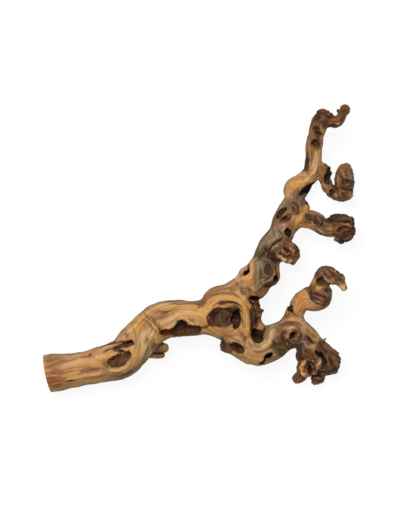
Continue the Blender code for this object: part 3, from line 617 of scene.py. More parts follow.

# Stains: tone, x and y of the middle, half sizes, turn in degrees and strength. Most are the wood's
# own colour; a few, marked below, are painted shade or painted light.
STAINS_AND_PAINTED_LIGHT = (
    ("rust", -208, -172, 8, 22, 12, 0.45),
    ("rust", -204, -183, 16, 12, 12, 0.6),
    ("umber", -219.5, -177, 3.5, 32, 12, 0.55),
    ("pink", -163, -163, 46, 22, 8, 0.4),
    ("pale", -178, -161, 20, 6, 8, 0.4),
    ("brown", -205, -158, 16, 6, 0, 0.5),
    ("olive", -146, -181, 30, 4, 14, 0.4),
    ("rust", -188, -191, 20, 4, 10, 0.5),
    ("plum", -152, -170, 17, 4, 10, 0.45),
    ("tan", -142, -148, 14, 7, 20, 0.4),
    ("pink", -125, -134, 16, 5, 15, 0.5),
    ("olive", -132, -164, 5, 9, 0, 0.5),
    ("silver", -124, -156, 4, 4, 0, 0.6),
    ("plum", -107, -178, 26, 7, 12, 0.35),
    ("tan", -100, -176, 14, 6, 25, 0.4),
    ("ochre", -92, -100, 14, 11, 35, 0.5),
    ("pink", -105, -122, 7, 11, 20, 0.5),
    ("ochre", -92, -152, 12, 16, 0, 0.4),
    ("orange", -88, -163, 6, 5, 0, 0.5),
    ("olive", -78, -158, 5, 6, 0, 0.4),
    ("pink", -62, -90, 15, 12, 20, 0.45),
    ("ochre", -57, -121, 8, 7, 40, 0.6),
    ("pink", -66, -140, 7, 14, 0, 0.4),
    ("pale", -74, -126, 15, 13, 30, 0.65),
    ("pale", -68, -148, 7, 8, 30, 0.5),
    ("brown", -56, -141, 11, 8, 0, 0.85),
    ("brown", -56, -152, 12, 6, 0, 0.85),
    ("black", -58, -148, 9, 2, 0, 0.9),
    ("pale", -46, -77, 20, 6, 5, 0.6),
    ("ochre", -10, -92, 12, 6, 0, 0.5),
    ("pink", 0, -103, 14, 5, -5, 0.5),
    ("rust", -46, -117, 10, 4, 0, 0.8),
    ("brown", -22, -123, 14, 4, 0, 0.9),
    ("olive", 6, -120, 10, 4, 5, 0.5),
    ("brown", -21, -75, 25, 3, 0, 0.5),
    ("pink", 12, -70, 16, 7, 35, 0.5),
    ("brown", 36, -60, 16, 7, 0, 0.5),
    ("ochre", 36, -69, 24, 5, 4, 0.8),
    ("ochre", 64, -95, 6, 20, 0, 0.7),
    ("pale", 61, -100, 3, 14, 0, 0.5),
    ("olive", 59, -60, 5, 7, 0, 0.6),
    ("plum", 17, -96, 5, 12, 0, 0.9),
    ("pink", 40, -118, 16, 7, -10, 0.4),
    ("tan", 48, -122, 12, 8, -20, 0.4),
    ("olive", 31, -130, 6, 9, 20, 0.7),
    ("umber", 36, -139, 9, 8, 0, 0.7),
    ("pink", 40, -139, 4, 4, 0, 0.6),
    ("orange", 60, -42, 10, 9, 30, 0.5),
    ("brown", 52, -52, 12, 6, 30, 0.6),
    ("tan", 58, -32, 6, 6, 0, 0.6),
    ("pink", 68, -66, 6, 10, 0, 0.7),
    ("brown", 88, -34, 18, 26, 0, 0.6),
    ("silver", 79, -36, 6, 24, 0, 0.6),
    ("grey", 84, -52, 10, 12, -20, 0.8),
    ("grey", 92, -30, 12, 13, 0, 0.75),
    ("umber", 94, -29, 7, 9, -12, 0.7),
    ("silver", 84, -24, 4, 9, -15, 0.55),
    ("umber", 94, -49, 9, 6, 20, 0.75),
    ("umber", 92, -52, 15, 9, 25, 0.75),
    ("umber", 75, -72, 9, 9, 0, 0.75),
    ("rust", 93, -58, 10, 3.5, 25, 0.8),
    ("orange", 107, -33, 3, 11, 0, 0.6),
    ("ochre", 88, -63, 8, 4, 40, 0.6),
    ("brown", 80, -76, 9, 7, 30, 0.8),
    ("umber", 75, -90, 8, 18, 0, 0.95),
    ("umber", 76, -112, 7, 12, 0, 0.9),
    ("orange", 83, -110, 5.5, 5, 0, 0.9),
    ("pink", 115, -97, 8, 5, 35, 0.7),
    ("grey", 104, -118, 18, 18, 0, 0.7),
    ("silver", 98, -122, 6, 10, 0, 0.6),
    ("silver", 88, -138, 12, 5, 20, 0.5),
    ("ochre", 74, -155, 14, 7, -10, 0.75),
    ("orange", 80, -158, 8, 5, 0, 0.5),
    ("umber", 110, -136, 14, 13, 0, 0.8),
    ("olive", 115, -148, 7, 9, 20, 0.85),
    ("brown", 100, -154, 10, 5, 10, 0.6),
    ("brown", 74, -147, 10, 3, 0, 0.5),
    ("grey", 92, 8, 20, 24, -30, 0.7),
    ("olive", 92, -12, 16, 8, 0, 0.85),
    ("olive", 84, 6, 8, 18, -25, 0.55),
    ("silver", 95, 12, 9, 5, 20, 0.5),
    ("tan", 86, 2, 4, 7, -15, 0.5),
    ("olive", 82, -6, 4, 6, 0, 0.7),
    ("umber", 96, -4, 11, 11, 0, 0.95),
    ("black", 98, -5, 7, 8, 0, 0.85),
    ("black", 104, -17, 8, 5, -20, 0.95),
    ("black", 93, -11, 12, 5, -10, 0.7),
    ("grey", 112, 34, 22, 30, -20, 0.75),
    ("silver", 104, 20, 5, 10, -15, 0.5),
    ("olive", 101, 38, 5, 16, -12, 0.8),
    ("brown", 143, 44, 20, 16, 0, 0.75),
    ("tan", 131, 40, 4, 14, -15, 0.6),
    ("brown", 112, 42, 8, 12, -20, 0.6),
    ("brown", 131, 27, 9, 10, 0, 0.6),
    ("plum", 124, 12, 8, 5, 0, 0.6),
    ("ochre", 138, 36, 6, 11, -10, 0.45),
    ("grey", 134, 66, 18, 10, 0, 0.85),
    ("black", 151, 66, 4, 8, 20, 0.8),
    ("brown", 150, 42, 7, 7, 0, 0.8),
    ("brown", 163, 38, 9, 10, 0, 0.7),
    ("ochre", 144, 29, 8, 2.5, 0, 0.7),
    ("grey", 170, 30, 12, 14, 0, 0.75),
    ("umber", 174, 27, 12, 10, 0, 0.55),
    ("olive", 172, 18, 9, 4, 0, 0.6),
    ("brown", 180, 27, 9, 13, 0, 0.75),
    ("black", 190, 45, 20, 9, 8, 0.95),
    ("rust", 203, 25, 13, 12, 0, 0.7),
    ("black", 207, 12, 16, 8, 10, 0.9),
    ("black", 216, 26, 5, 16, 0, 0.8),
    ("ochre", 140, 93, 20, 8, 15, 0.9),
    ("tan", 123, 80, 6, 12, 0, 0.7),
    ("pink", 138, 99, 8, 3, 20, 0.4),
    ("grey", 136, 76, 7, 7, 0, 0.7),
    # Dark bark and painted shade under the limb above the crook.
    ("black", 155, 84, 15, 5, 32, 0.95),
    ("tan", 158, 108, 9, 12, 0, 0.7),
    ("pale", 161, 122, 6, 13, 0, 0.7),
    ("black", 148.5, 120, 4.5, 14, 0, 0.85),
    ("olive", 153, 130, 6, 9, 0, 0.6),
    ("brown", 158, 152, 13, 17, 0, 0.85),
    ("plum", 163, 140, 6, 3, 0, 0.6),
    ("umber", 162, 172, 13, 10, 0, 0.75),
    ("umber", 178, 181, 26, 17, 0, 0.85),
    ("black", 161, 183, 4, 9, -20, 0.8),
    ("rust", 186, 178, 10, 6, 0, 0.8),
    ("umber", 190, 172, 10, 7, 0, 0.8),
    ("umber", 197, 186, 9, 12, 0, 0.85),
    ("grey", 201, 193, 4, 4, 0, 0.5),
    ("brown", 178, 102, 12, 20, 0, 0.8),
    ("black", 182, 108, 3, 9, 0, 0.9),
    ("brown", 184, 84, 14, 12, 0, 0.75),
    ("olive", 185, 71, 12, 4, -20, 0.8),
    ("brown", 200, 72, 10, 6, 0, 0.7),
    ("pink", 204, 104, 9, 10, 0, 0.4),
    ("black", 214, 86, 4, 10, 0, 0.7),
    ("orange", 138, -78, 14, 17, 0, 0.9),
    ("pink", 129, -77, 4, 3, 0, 0.6),
    ("orange", 161, -85, 18, 9, 0, 0.95),
    ("pale", 161, -90, 12, 3.5, 0, 0.6),
    ("silver", 171, -83, 6, 5, 0, 0.6),
    ("brown", 164, -67, 14, 11, -15, 0.7),
    ("grey", 162, -38, 7, 9, 0, 0.75),
    ("ochre", 159, -44, 4, 5, 0, 0.7),
    ("olive", 172, -51, 6, 4, 0, 0.75),
    ("ochre", 178, -36, 5, 5, 0, 0.5),
    ("umber", 152, -56, 9, 8, 0, 0.75),
    ("umber", 186, -38, 9, 7, -30, 0.7),
    ("black", 175, -26, 9, 2.5, 0, 0.85),
    ("tan", 186, -50, 10, 2.5, 0, 0.8),
    ("pale", 194, -55, 6, 5, 0, 0.9),
    ("black", 201, -55, 2, 3, 0, 0.8),
    ("pink", 120, -97, 9, 5, 25, 0.7),
    ("tan", 132, -96, 9, 5, -20, 0.6),
    # Pale wood, lightened further as painted light where this face turns away from the lamp.
    ("pale", 150, -107, 16, 11, -30, 0.95),
    ("olive", 127, -92, 5, 6, -30, 0.5),
    ("tan", 148, -94, 8, 5, 0, 0.5),
    ("ochre", 157, -117, 10, 10, -40, 0.8),
    # A painted highlight, cream, on the upper ring of the fork knot.
    ("pale", 128, -111, 9, 4, 0, 0.6),
    ("brown", 123, -106, 12, 4, 10, 0.5),
    ("brown", 127, -121, 17, 16, 0, 0.75),
    ("umber", 126, -136, 13, 9, 0, 0.7),
    ("pink", 136, -128, 7, 6, 0, 0.6),
    ("plum", 146, -130, 14, 10, 0, 0.75),
    ("grey", 149, -140, 9, 5, 0, 0.5),
    ("umber", 148, -150, 17, 10, 0, 0.85),
    ("black", 135, -150, 9, 13, -10, 0.9),
    ("umber", 169, -141, 11, 9, -40, 0.85),
    ("umber", 180, -158, 20, 24, 0, 0.75),
    ("black", 172, -163, 5, 11, 10, 0.85),
    ("umber", 155, -167, 8, 9, 0, 0.7),
    ("orange", 146, -170, 6, 12, 0, 0.8),
    ("orange", 152, -180, 6, 3, 0, 0.6),
    ("pink", 167, -161, 3, 7, 0, 0.6),
    ("brown", 141, -184, 10, 8, 0, 0.9),
    ("rust", 167, -183, 8, 5, 0, 0.5),
    ("black", 135, -158, 7, 16, 0, 0.9),
    ("umber", 172, -131, 8, 4.5, 30, 0.8),
    ("umber", 131, -143, 12, 5, 0, 0.7),
    ("pale", 153, -163, 8, 3, 0, 0.6),
    ("umber", 131, -172, 8, 12, 0, 0.8),
)

def unit(vectors):
    """Vectors made one long."""
    return vectors / np.maximum(np.linalg.norm(vectors, axis=-1, keepdims=True), 1e-9)


def step(low, high, values):
    """0 below low, 1 above high, and an S curve between them."""
    share = np.clip((values - low) / (high - low), 0.0, 1.0)
    return share * share * (3.0 - 2.0 * share)


def gradient_table(count=64):
    """Directions spread evenly over a ball, on a golden spiral."""
    turn = np.arange(count) * math.pi * (3.0 - math.sqrt(5.0))
    height = 1.0 - (2.0 * np.arange(count) + 1.0) / count
    round_ = np.sqrt(1.0 - height**2)
    return np.stack([round_ * np.cos(turn), round_ * np.sin(turn), height], axis=1)


GRADIENTS = gradient_table().astype(np.float32)


def noise(points, seed=0):
    """Gradient noise, about -1 to 1: each corner of a unit lattice has a direction, its slope is
    followed from that corner, and the eight slopes are faded into each other."""
    corner = np.floor(points)
    inside = (points - corner).astype(np.float32)
    corner = corner.astype(np.int64)
    fade = inside**3 * (inside * (inside * 6.0 - 15.0) + 10.0)
    total = np.zeros(len(points), np.float32)
    for offset in itertools.product((0, 1), repeat=3):
        near = corner + offset
        mixed = near[:, 0] * 73856093 ^ near[:, 1] * 19349663 ^ near[:, 2] * 83492791
        mixed ^= seed * 2654435761
        mixed = (mixed ^ (mixed >> 15)) * 2246822519
        pick = (mixed ^ (mixed >> 13)) & 63
        slope = ((inside - np.array(offset, np.float32)) * GRADIENTS[pick]).sum(axis=1)
        share = np.where(np.array(offset, bool), fade, 1.0 - fade).prod(axis=1)
        total += share * slope
    return total * 1.7


def cloud(points, octaves, seed=0):
    """Gradient noise with finer and fainter copies of itself added."""
    total = np.zeros(len(points), np.float32)
    for octave in range(octaves):
        total += noise(points * 2.0**octave, seed + octave) * 0.5**octave
    return total


def smooth_path(stations, spacing=5.0):
    """Points a few millimetres apart on a Catmull-Rom curve through the stations: between two
    stations, a cubic that leaves along the line from the one before to the one after."""
    points = np.array(stations, float)
    padded = np.vstack([2 * points[0] - points[1], points, 2 * points[-1] - points[-2]])
    rows = []
    for before, start, end, after in zip(padded, padded[1:], padded[2:], padded[3:]):
        count = max(2, int(np.linalg.norm((end - start)[:3]) / spacing))
        t = (np.arange(count) / count)[:, None]
        rows.append(
            start
            + t * (end - before) / 2
            + t**2 * (2 * before - 5 * start + 4 * end - after) / 2
            + t**3 * (3 * start - before - 3 * end + after) / 2
        )
    return np.vstack(rows + [points[-1:]])


class Cells:
    """Distances to the wood's skin at the corners of a grid of cells, negative inside."""

    def __init__(self, low, high, size):
        self.size = size
        self.axes = [np.arange(a, b + size, size, dtype=np.float32) for a, b in zip(low, high)]
        self.distance = np.full([len(axis) for axis in self.axes], FAR, np.float32)

    def window(self, low, high):
        """The slices between two corners, and the coordinates there along each axis."""
        cut = tuple(
            slice(
                max(0, int((a - axis[0]) / self.size)),
                max(0, int((b - axis[0]) / self.size) + 2),
            )
            for a, b, axis in zip(low, high, self.axes)
        )
        return cut, np.ix_(*(axis[part] for axis, part in zip(self.axes, cut)))

    def join(self, cut, other, blend):
        """Adds a shape, with a fillet about as wide as blend."""
        here = self.distance[cut]
        share = np.clip(0.5 + 0.5 * (here - other) / blend, 0.0, 1.0)
        self.distance[cut] = here + (other - here) * share - blend * share * (1.0 - share)

    def carve(self, cut, other, blend):
        """Takes a shape away, with an edge rounded by about blend."""
        here = self.distance[cut]
        share = np.clip(0.5 + 0.5 * (here + other) / blend, 0.0, 1.0)
        self.distance[cut] = here + (-other - here) * (1.0 - share) + blend * share * (1.0 - share)

    def sample(self, points):
        """The distance at any point, mixed from the eight corners of its cell."""
        start = np.array([axis[0] for axis in self.axes])
        place = (points - start) / self.size
        top = np.array(self.distance.shape) - 2
        corner = np.clip(np.floor(place).astype(int), 0, top)
        share = np.clip(place - corner, 0.0, 1.0)
        total = np.zeros(len(points))
        for offset in itertools.product((0, 1), repeat=3):
            weight = np.where(np.array(offset, bool), share, 1.0 - share).prod(axis=1)
            x, y, z = (corner + offset).T
            total += weight * self.distance[x, y, z]
        return total


def tube_distance(cells, path, reach):
    """Distance to a tube of changing radius: from the nearest point of its middle line, less the
    radius there. It is the least over the line's short straight pieces."""
    widest = path[:, 3].max() + reach
    cut, axes = cells.window(path[:, :3].min(axis=0) - widest, path[:, :3].max(axis=0) + widest)
    least = np.full([axis.size for axis in axes], FAR, np.float32)
    for start, end in zip(path, path[1:]):
        margin = max(start[3], end[3]) + reach
        low = np.minimum(start[:3], end[:3]) - margin
        high = np.maximum(start[:3], end[:3]) + margin
        inner, (x, y, z) = cells.window(low, high)
        run = end[:3] - start[:3]
        x, y, z = x - start[0], y - start[1], z - start[2]
        t = np.clip((x * run[0] + y * run[1] + z * run[2]) / (run @ run), 0.0, 1.0)
        away = (x - t * run[0]) ** 2 + (y - t * run[1]) ** 2 + (z - t * run[2]) ** 2
        found = np.sqrt(away) - (start[3] + t * (end[3] - start[3]))
        place = tuple(
            slice(part.start - whole.start, part.start - whole.start + size)
            for part, whole, size in zip(inner, cut, found.shape)
        )
        least[place] = np.minimum(least[place], found)
    return cut, axes, least


def egg_distance(x, y, z, middle, half_sizes, turn):
    """Distance to an egg: how far out a point is on the stretched scale, over how fast that
    scale grows there."""
    angle = math.radians(turn)
    x, y, z = x - middle[0], y - middle[1], z - middle[2]
    along = x * math.cos(angle) + y * math.sin(angle)
    across = y * math.cos(angle) - x * math.sin(angle)
    a, b, c = half_sizes
    scale = np.sqrt((along / a) ** 2 + (across / b) ** 2 + (z / c) ** 2)
    growth = np.sqrt((along / a**2) ** 2 + (across / b**2) ** 2 + (z / c**2) ** 2)
    return scale * (scale - 1.0) / np.maximum(growth, 1e-4)


def worn_egg_distance(points, middle, half_sizes, turn, seed):
    """Distance to an egg whose outline two noises have pushed about, as wear does."""
    slow = [noise(points / 11.0, seed + 7 * axis) for axis in range(3)]
    quick = [noise(points / 4.5, seed + 7 * axis + 3) for axis in range(3)]
    bent = points + 2.6 * np.stack(slow, axis=1) + 0.9 * np.stack(quick, axis=1)
    return egg_distance(*bent.T, middle, half_sizes, turn)


def egg_window(cells, middle, half_sizes, reach):
    """The part of the grid that an egg can change."""
    size = max(half_sizes[:2]) + reach
    span = np.array((size, size, half_sizes[2] + reach))
    return cells.window(np.array(middle) - span, np.array(middle) + span)


def window_points(axes):
    """The cells of a window as a list of points."""
    return np.stack(np.broadcast_arrays(*axes), axis=-1).reshape(-1, 3)


def gnarls(points, seed):
    """How far old bark and burls stand out at each point: soft lumps, less narrow creases where
    a second noise crosses zero."""
    lumps = 2.8 * noise(points / 12.0, seed) + 1.5 * noise(points / 5.0, seed + 1)
    winding = noise(points / 12.0 + 0.6 * noise(points / 8.0, seed + 2)[:, None], seed + 3)
    creases = 3.6 * (1.0 - step(0.0, 0.16, np.abs(winding)))
    return lumps - creases - 0.2


def wood_cells(size):
    """The whole piece as distances: limbs and knobs joined, hollows and the saw cut taken away."""
    low, high = np.array(CAD_BOX) / MM - ORIGIN_SHIFT
    cells = Cells(low - 8.0, high + 8.0, size)
    for seed, (name, stations) in enumerate(LIMBS.items()):
        cut, axes, found = tube_distance(cells, smooth_path(stations), 12.0)
        lumps = noise(window_points(axes) / 13.0, LUMP_SEED + seed).reshape(found.shape)
        found = found - 0.9 * lumps
        if name in ROUGH_LIMBS:
            rough = gnarls(window_points(axes), seed).reshape(found.shape)
            found = found - ROUGH_LIMBS[name] * rough
        cells.join(cut, found, FILLETS.get(name, FILLET))
    for seed, (middle, half_sizes, turn, gnarled, _) in enumerate(KNOBS.values(), KNOB_SEED):
        cut, axes = egg_window(cells, middle, half_sizes, 10.0)
        found = egg_distance(*axes, middle, half_sizes, turn)
        if gnarled:
            found = found - gnarled * gnarls(window_points(axes), seed).reshape(found.shape)
        cells.join(cut, found, 5.0 - 2.0 * gnarled)
    for seed, (middle, half_sizes, turn, _) in enumerate(HOLLOWS.values(), HOLLOW_SEED):
        cut, axes = egg_window(cells, middle, half_sizes, 8.0)
        points = window_points(axes)
        found = worn_egg_distance(points, middle, half_sizes, turn, seed)
        found += 0.3 * gnarls(points, seed)
        cells.carve(cut, found.reshape(cells.distance[cut].shape), 1.0)
    for seed, dome in enumerate(DOMES.values(), DOME_SEED):
        cut, axes = egg_window(cells, *dome[:2], 8.0)
        points = window_points(axes)
        found = worn_egg_distance(points, *dome, seed) - 0.35 * gnarls(points, seed)
        cells.join(cut, found.reshape(cells.distance[cut].shape), 2.0)
    x, y, z = np.ix_(*cells.axes)
    facing = unit(SAWN_FACING)
    sawn = sum((axis - middle) * way for axis, middle, way in zip((x, y, z), SAWN_CENTRE, facing))
    cells.distance = np.maximum(np.maximum(cells.distance, sawn), -z).astype(np.float32)
    return cells


def skin_of(cells):
    """The zero surface of the cells as points and four-sided faces."""
    grid = openvdb.FloatGrid(background=FAR)
    grid.copyFromArray(np.clip(cells.distance, -20.0, 20.0))
    points, quads = grid.convertToQuads(isovalue=0.0)
    start = np.array([axis[0] for axis in cells.axes])
    return without_crumbs(points.astype(float) * cells.size + start, quads.astype(np.int64))


def without_crumbs(points, quads):
    """What a flood over the faces reaches from the sawn end, without the loose crumbs round it."""
    reached = np.zeros(len(points), bool)
    reached[points[:, 0].argmin()] = True
    left = quads
    touched = reached[left].any(axis=1)
    while touched.any():
        reached[left[touched]] = True
        left = left[~touched]
        touched = reached[left].any(axis=1)
    number = np.cumsum(reached) - 1
    return points[reached], number[quads[reached[quads].all(axis=1)]]


def point_normals(points, quads):
    """Each point's outward direction: the summed cross products of its faces' diagonals."""
    corners = points[quads]
    across = np.cross(corners[:, 2] - corners[:, 0], corners[:, 3] - corners[:, 1])
    total = np.zeros_like(points)
    for column in range(4):
        for axis in range(3):
            total[:, axis] += np.bincount(quads[:, column], across[:, axis], len(points))
    return unit(total)


class Limb:
    """A limb's middle line with the frame of its grain: along it, sideways and upwards."""

    def __init__(self, stations, start_length=0.0):
        path = smooth_path(stations)
        self.points, self.radii = path[:, :3], path[:, 3]
        ways = unit(np.gradient(self.points, axis=0))
        self.sides = unit(np.cross((0.0, 0.0, 1.0), ways))
        self.ups = np.cross(ways, self.sides)
        steps = np.linalg.norm(np.diff(self.points, axis=0), axis=1)
        self.lengths = start_length + np.concatenate([[0.0], np.cumsum(steps)])

    def length_near(self, point):
        """How far along the limb the place nearest to a point is."""
        return self.lengths[np.linalg.norm(self.points - point, axis=1).argmin()]

    def measure(self, points):
        """For each point: its distance to the limb's skin, its sideways, upward and lengthwise
        place in the limb, and the limb's sideways direction there."""
        nearest = np.full(len(points), FAR)
        spot = np.zeros((len(points), 3))
        side = np.tile(self.sides[0], (len(points), 1))
        for i in range(len(self.points) - 1):
            run = self.points[i + 1] - self.points[i]
            t = np.clip((points - self.points[i]) @ run / (run @ run), 0.0, 1.0)
            away = points - self.points[i] - t[:, None] * run
            gap = np.linalg.norm(away, axis=1) - (1 - t) * self.radii[i] - t * self.radii[i + 1]
            near = gap < nearest
            nearest = np.where(near, gap, nearest)
            sides = self.sides[i] + t[:, None] * (self.sides[i + 1] - self.sides[i])
            ups = self.ups[i] + t[:, None] * (self.ups[i + 1] - self.ups[i])
            length = self.lengths[i] + t * (self.lengths[i + 1] - self.lengths[i])
            here = np.stack([(away * sides).sum(1), (away * ups).sum(1), length], axis=1)
            spot = np.where(near[:, None], here, spot)
            side = np.where(near[:, None], sides, side)
        return nearest, spot, side


def grown_limbs():
    """Every limb, its length counted on from where it leaves its parent."""
    made = {}
    for name, stations in LIMBS.items():
        parent = made.get(PARENTS.get(name))
        start = parent.length_near(stations[0][:3]) if parent else 0.0
        made[name] = Limb(stations, start)
    return made


def grain_at(points, centres, reaches):
    """The grain's coordinates at each point: sideways, upward and lengthwise places in the limbs,
    shared out by closeness. Round each knot and hollow the sideways place bends as a stream does
    round a post, so the grain flows past it."""
    total = np.zeros((len(points), 3))
    shares = np.zeros(len(points))
    for limb in grown_limbs().values():
        gap, spot, side = limb.measure(points)
        for centre, reach in zip(centres, reaches):
            away = points - centre
            apart = (away**2).sum(axis=1)
            near = apart < (4.0 * reach) ** 2
            across = (away[near] * side[near]).sum(axis=1)
            bend = np.minimum(1.0, reach**2 / np.maximum(apart[near], 1e-6))
            fade = 1.0 - step(2.5 * reach, 4.0 * reach, np.sqrt(apart[near]))
            spot[near, 0] -= across * bend * fade
        share = np.exp(-gap / 3.5)
        total += spot * share[:, None]
        shares += share
    return total / shares[:, None]


def top_heights(cells, places):
    """The height of the wood's upper side over each x and y."""
    x = np.searchsorted(cells.axes[0], places[:, 0])
    y = np.searchsorted(cells.axes[1], places[:, 1])
    inside = cells.distance[x, y] < 0.0
    top = inside.shape[1] - 1 - inside[:, ::-1].argmax(axis=1)
    return np.where(inside.any(axis=1), cells.axes[2][top], 0.0)


def line_distance(places, line):
    """The distance of each x and y from a smooth line drawn through a few points."""
    path = smooth_path([(x, y, 0.0, 1.0) for x, y in line], 3.0)[:, :2]
    nearest = np.full(len(places), FAR)
    for start, end in zip(path, path[1:]):
        run = end - start
        t = np.clip((places - start) @ run / (run @ run), 0.0, 1.0)
        nearest = np.minimum(nearest, np.linalg.norm(places - start - t[:, None] * run, axis=1))
    return nearest


class Paint:
    """Colours laid over one another on the points, with how much of the wood they cover."""

    def __init__(self, count):
        self.colour = np.zeros((count, 3))
        self.cover = np.zeros(count)

    def lay(self, name, share, near=slice(None)):
        """Lays a tone on some of the points, over what is there already."""
        share = np.clip(share, 0.0, 1.0)
        left = self.cover[near] * (1.0 - share)
        both = np.maximum(share + left, 1e-6)[:, None]
        mixed = np.array(TONES[name]) * share[:, None] + self.colour[near] * left[:, None]
        self.colour[near] = mixed / both
        self.cover[near] = share + left

    def values(self):
        """Red, green, blue and cover of each point."""
        return np.column_stack([self.colour, self.cover])


def lay_stains_and_painted_light(paint, points, ragged):
    """Each stain or patch of painted light is a soft egg seen from above, with a ragged edge, on
    those before it.
    """
    for name, x, y, half_x, half_y, turn, strength in STAINS_AND_PAINTED_LIGHT:
        angle = math.radians(turn)
        dx, dy = points[:, 0] - x, points[:, 1] - y
        along = (dx * math.cos(angle) + dy * math.sin(angle)) / half_x
        across = (dy * math.cos(angle) - dx * math.sin(angle)) / half_y
        paint.lay(name, strength * (1.0 - step(0.7, 1.3, np.hypot(along, across) + ragged)))


def lay_burls(stain_and_light, points, ragged):
    """How gnarled each point is: most within a knob or a rough limb, fading a few millimetres
    outside it. Each knob lays its own tone."""
    gnarled = np.zeros(len(points))
    for middle, half_sizes, turn, strength, name in KNOBS.values():
        if name:
            gap = egg_distance(*points.T, middle, half_sizes, turn) + 4.0 * ragged
            share = 1.0 - step(0.5, 4.5, gap)
            gnarled = np.maximum(gnarled, strength * share)
            stain_and_light.lay(name, 0.55 * share)
    for name, strength in ROUGH_LIMBS.items():
        gap, _, _ = Limb(LIMBS[name]).measure(points)
        gnarled = np.maximum(gnarled, strength * (1.0 - step(1.0, 5.0, gap)))
    return gnarled


def lay_hollows(paint, points):
    """How far each point is in a hollow, fading over the hollow's edge. Each hollow lays its own
    tone, its dark ones partly painted shade, and a dome in one stays grey."""
    hollow = np.zeros(len(points))
    for seed, (middle, half_sizes, turn, name) in enumerate(HOLLOWS.values(), HOLLOW_SEED):
        near = np.flatnonzero(np.linalg.norm(points - middle, axis=1) < max(half_sizes) + 12.0)
        gap = worn_egg_distance(points[near], middle, half_sizes, turn, seed)
        share = 1.0 - step(0.4, 2.2, gap)
        hollow[near] = np.maximum(hollow[near], share)
        paint.lay(name, 0.9 * share, near)
    for seed, (middle, half_sizes, turn) in enumerate(DOMES.values(), DOME_SEED):
        gap = worn_egg_distance(points, middle, half_sizes, turn, seed)
        paint.lay("grey", 0.7 * (1.0 - step(0.3, 2.5, gap)))
    return hollow


def add_knots(paint, points, upward, cells):
    """Rings round each knot, as the height they add: a rim, ripples inside it, a moat outside it
    and a hole in the middle. The low rings and the hole are painted dark, as the knot's own colour
    and as painted shade."""
    height = np.zeros(len(points))
    for seed, (x, y, half_x, half_y, turn, rim, pit) in enumerate(KNOTS.values(), KNOT_SEED):
        middle = np.array((x, y, top_heights(cells, np.array([(x, y)]))[0]))
        near = np.flatnonzero(np.linalg.norm(points - middle, axis=1) < 2.0 * max(half_x, half_y))
        away = points[near] - middle
        angle = math.radians(turn)
        along = (away[:, 0] * math.cos(angle) + away[:, 1] * math.sin(angle)) / half_x
        across = (away[:, 1] * math.cos(angle) - away[:, 0] * math.sin(angle)) / half_y
        uneven = 0.2 * noise(away / 8.0, seed) + 0.12 * noise(away / 3.5, seed + 1)
        out = np.sqrt(along**2 + across**2 + (away[:, 2] / max(half_x, half_y)) ** 2) + uneven
        hill = np.exp(-(((out - 0.88) / 0.17) ** 2))
        moat = np.exp(-(((out - 0.62) / 0.12) ** 2)) + 0.6 * np.exp(-(((out - 1.15) / 0.1) ** 2))
        ripple = np.cos(out * 17.0) * (1.0 - step(0.7, 1.0, out))
        hole = np.exp(-((out / 0.3) ** 2))
        facing = upward[near]
        height[near] += (rim * (hill + 0.3 * ripple - 0.8 * moat) - pit * hole) * facing
        paint.lay("umber", 0.65 * (1.0 - step(0.45, 0.8, out)) * facing, near)
        # The dark moat and hole: the knot's own colour and painted shade in the low places.
        paint.lay("black", 0.7 * moat * facing, near)
        paint.lay("black", 0.85 * hole * min(1.0, pit / 2.5) * facing, near)
    return height


def add_strokes(paint, points, upward):
    """Lines worn in or standing proud, as the height they add: a bell curve across each line that
    dies away at its two ends, wandering a little. Each lays its own tone: dark tones in grooves are
    partly painted shade, and pale and pink tones on ridges are partly painted highlights."""
    height = np.zeros(len(points))
    for seed, (width, depth, name, strength, line) in enumerate(STROKES, STROKE_SEED):
        corners = np.array(line)
        low, high = corners.min(axis=0) - 3.5 * width, corners.max(axis=0) + 3.5 * width
        near = np.flatnonzero(((points[:, :2] > low) & (points[:, :2] < high)).all(axis=1))
        place = points[near]
        ends = np.linalg.norm(place[:, None, :2] - corners[[0, -1]], axis=2).min(axis=1)
        fade = 0.25 + 0.75 * step(0.0, 7.0, ends)
        wander = place[:, :2] + 0.9 * np.stack(
            [noise(place / 7.0, seed), noise(place / 7.0, seed + 1)], axis=1
        )
        uneven = 1.0 + 0.35 * noise(place / 6.0, seed + 2)
        out = line_distance(wander, line) / (width * uneven)
        share = np.exp(-(out**2)) * fade * upward[near]
        height[near] -= depth * share
        paint.lay(name, strength * np.minimum(1.0, 1.25 * share), near)
    return height


def sawn_checks(points):
    """How open the cracks of the sawn face are: rays from the pith, where a noise that turns with
    the angle crosses zero, and none at the pith itself."""
    y, z = (points - SAWN_CENTRE)[:, 1:].T
    out = np.hypot(y, z)
    rays = np.stack([np.cos(np.arctan2(z, y)), np.sin(np.arctan2(z, y)), out / 40.0], axis=1) * 2.6
    return (1.0 - step(0.0, 0.06, np.abs(noise(rays, 51)))) * step(3.0, 12.0, out)


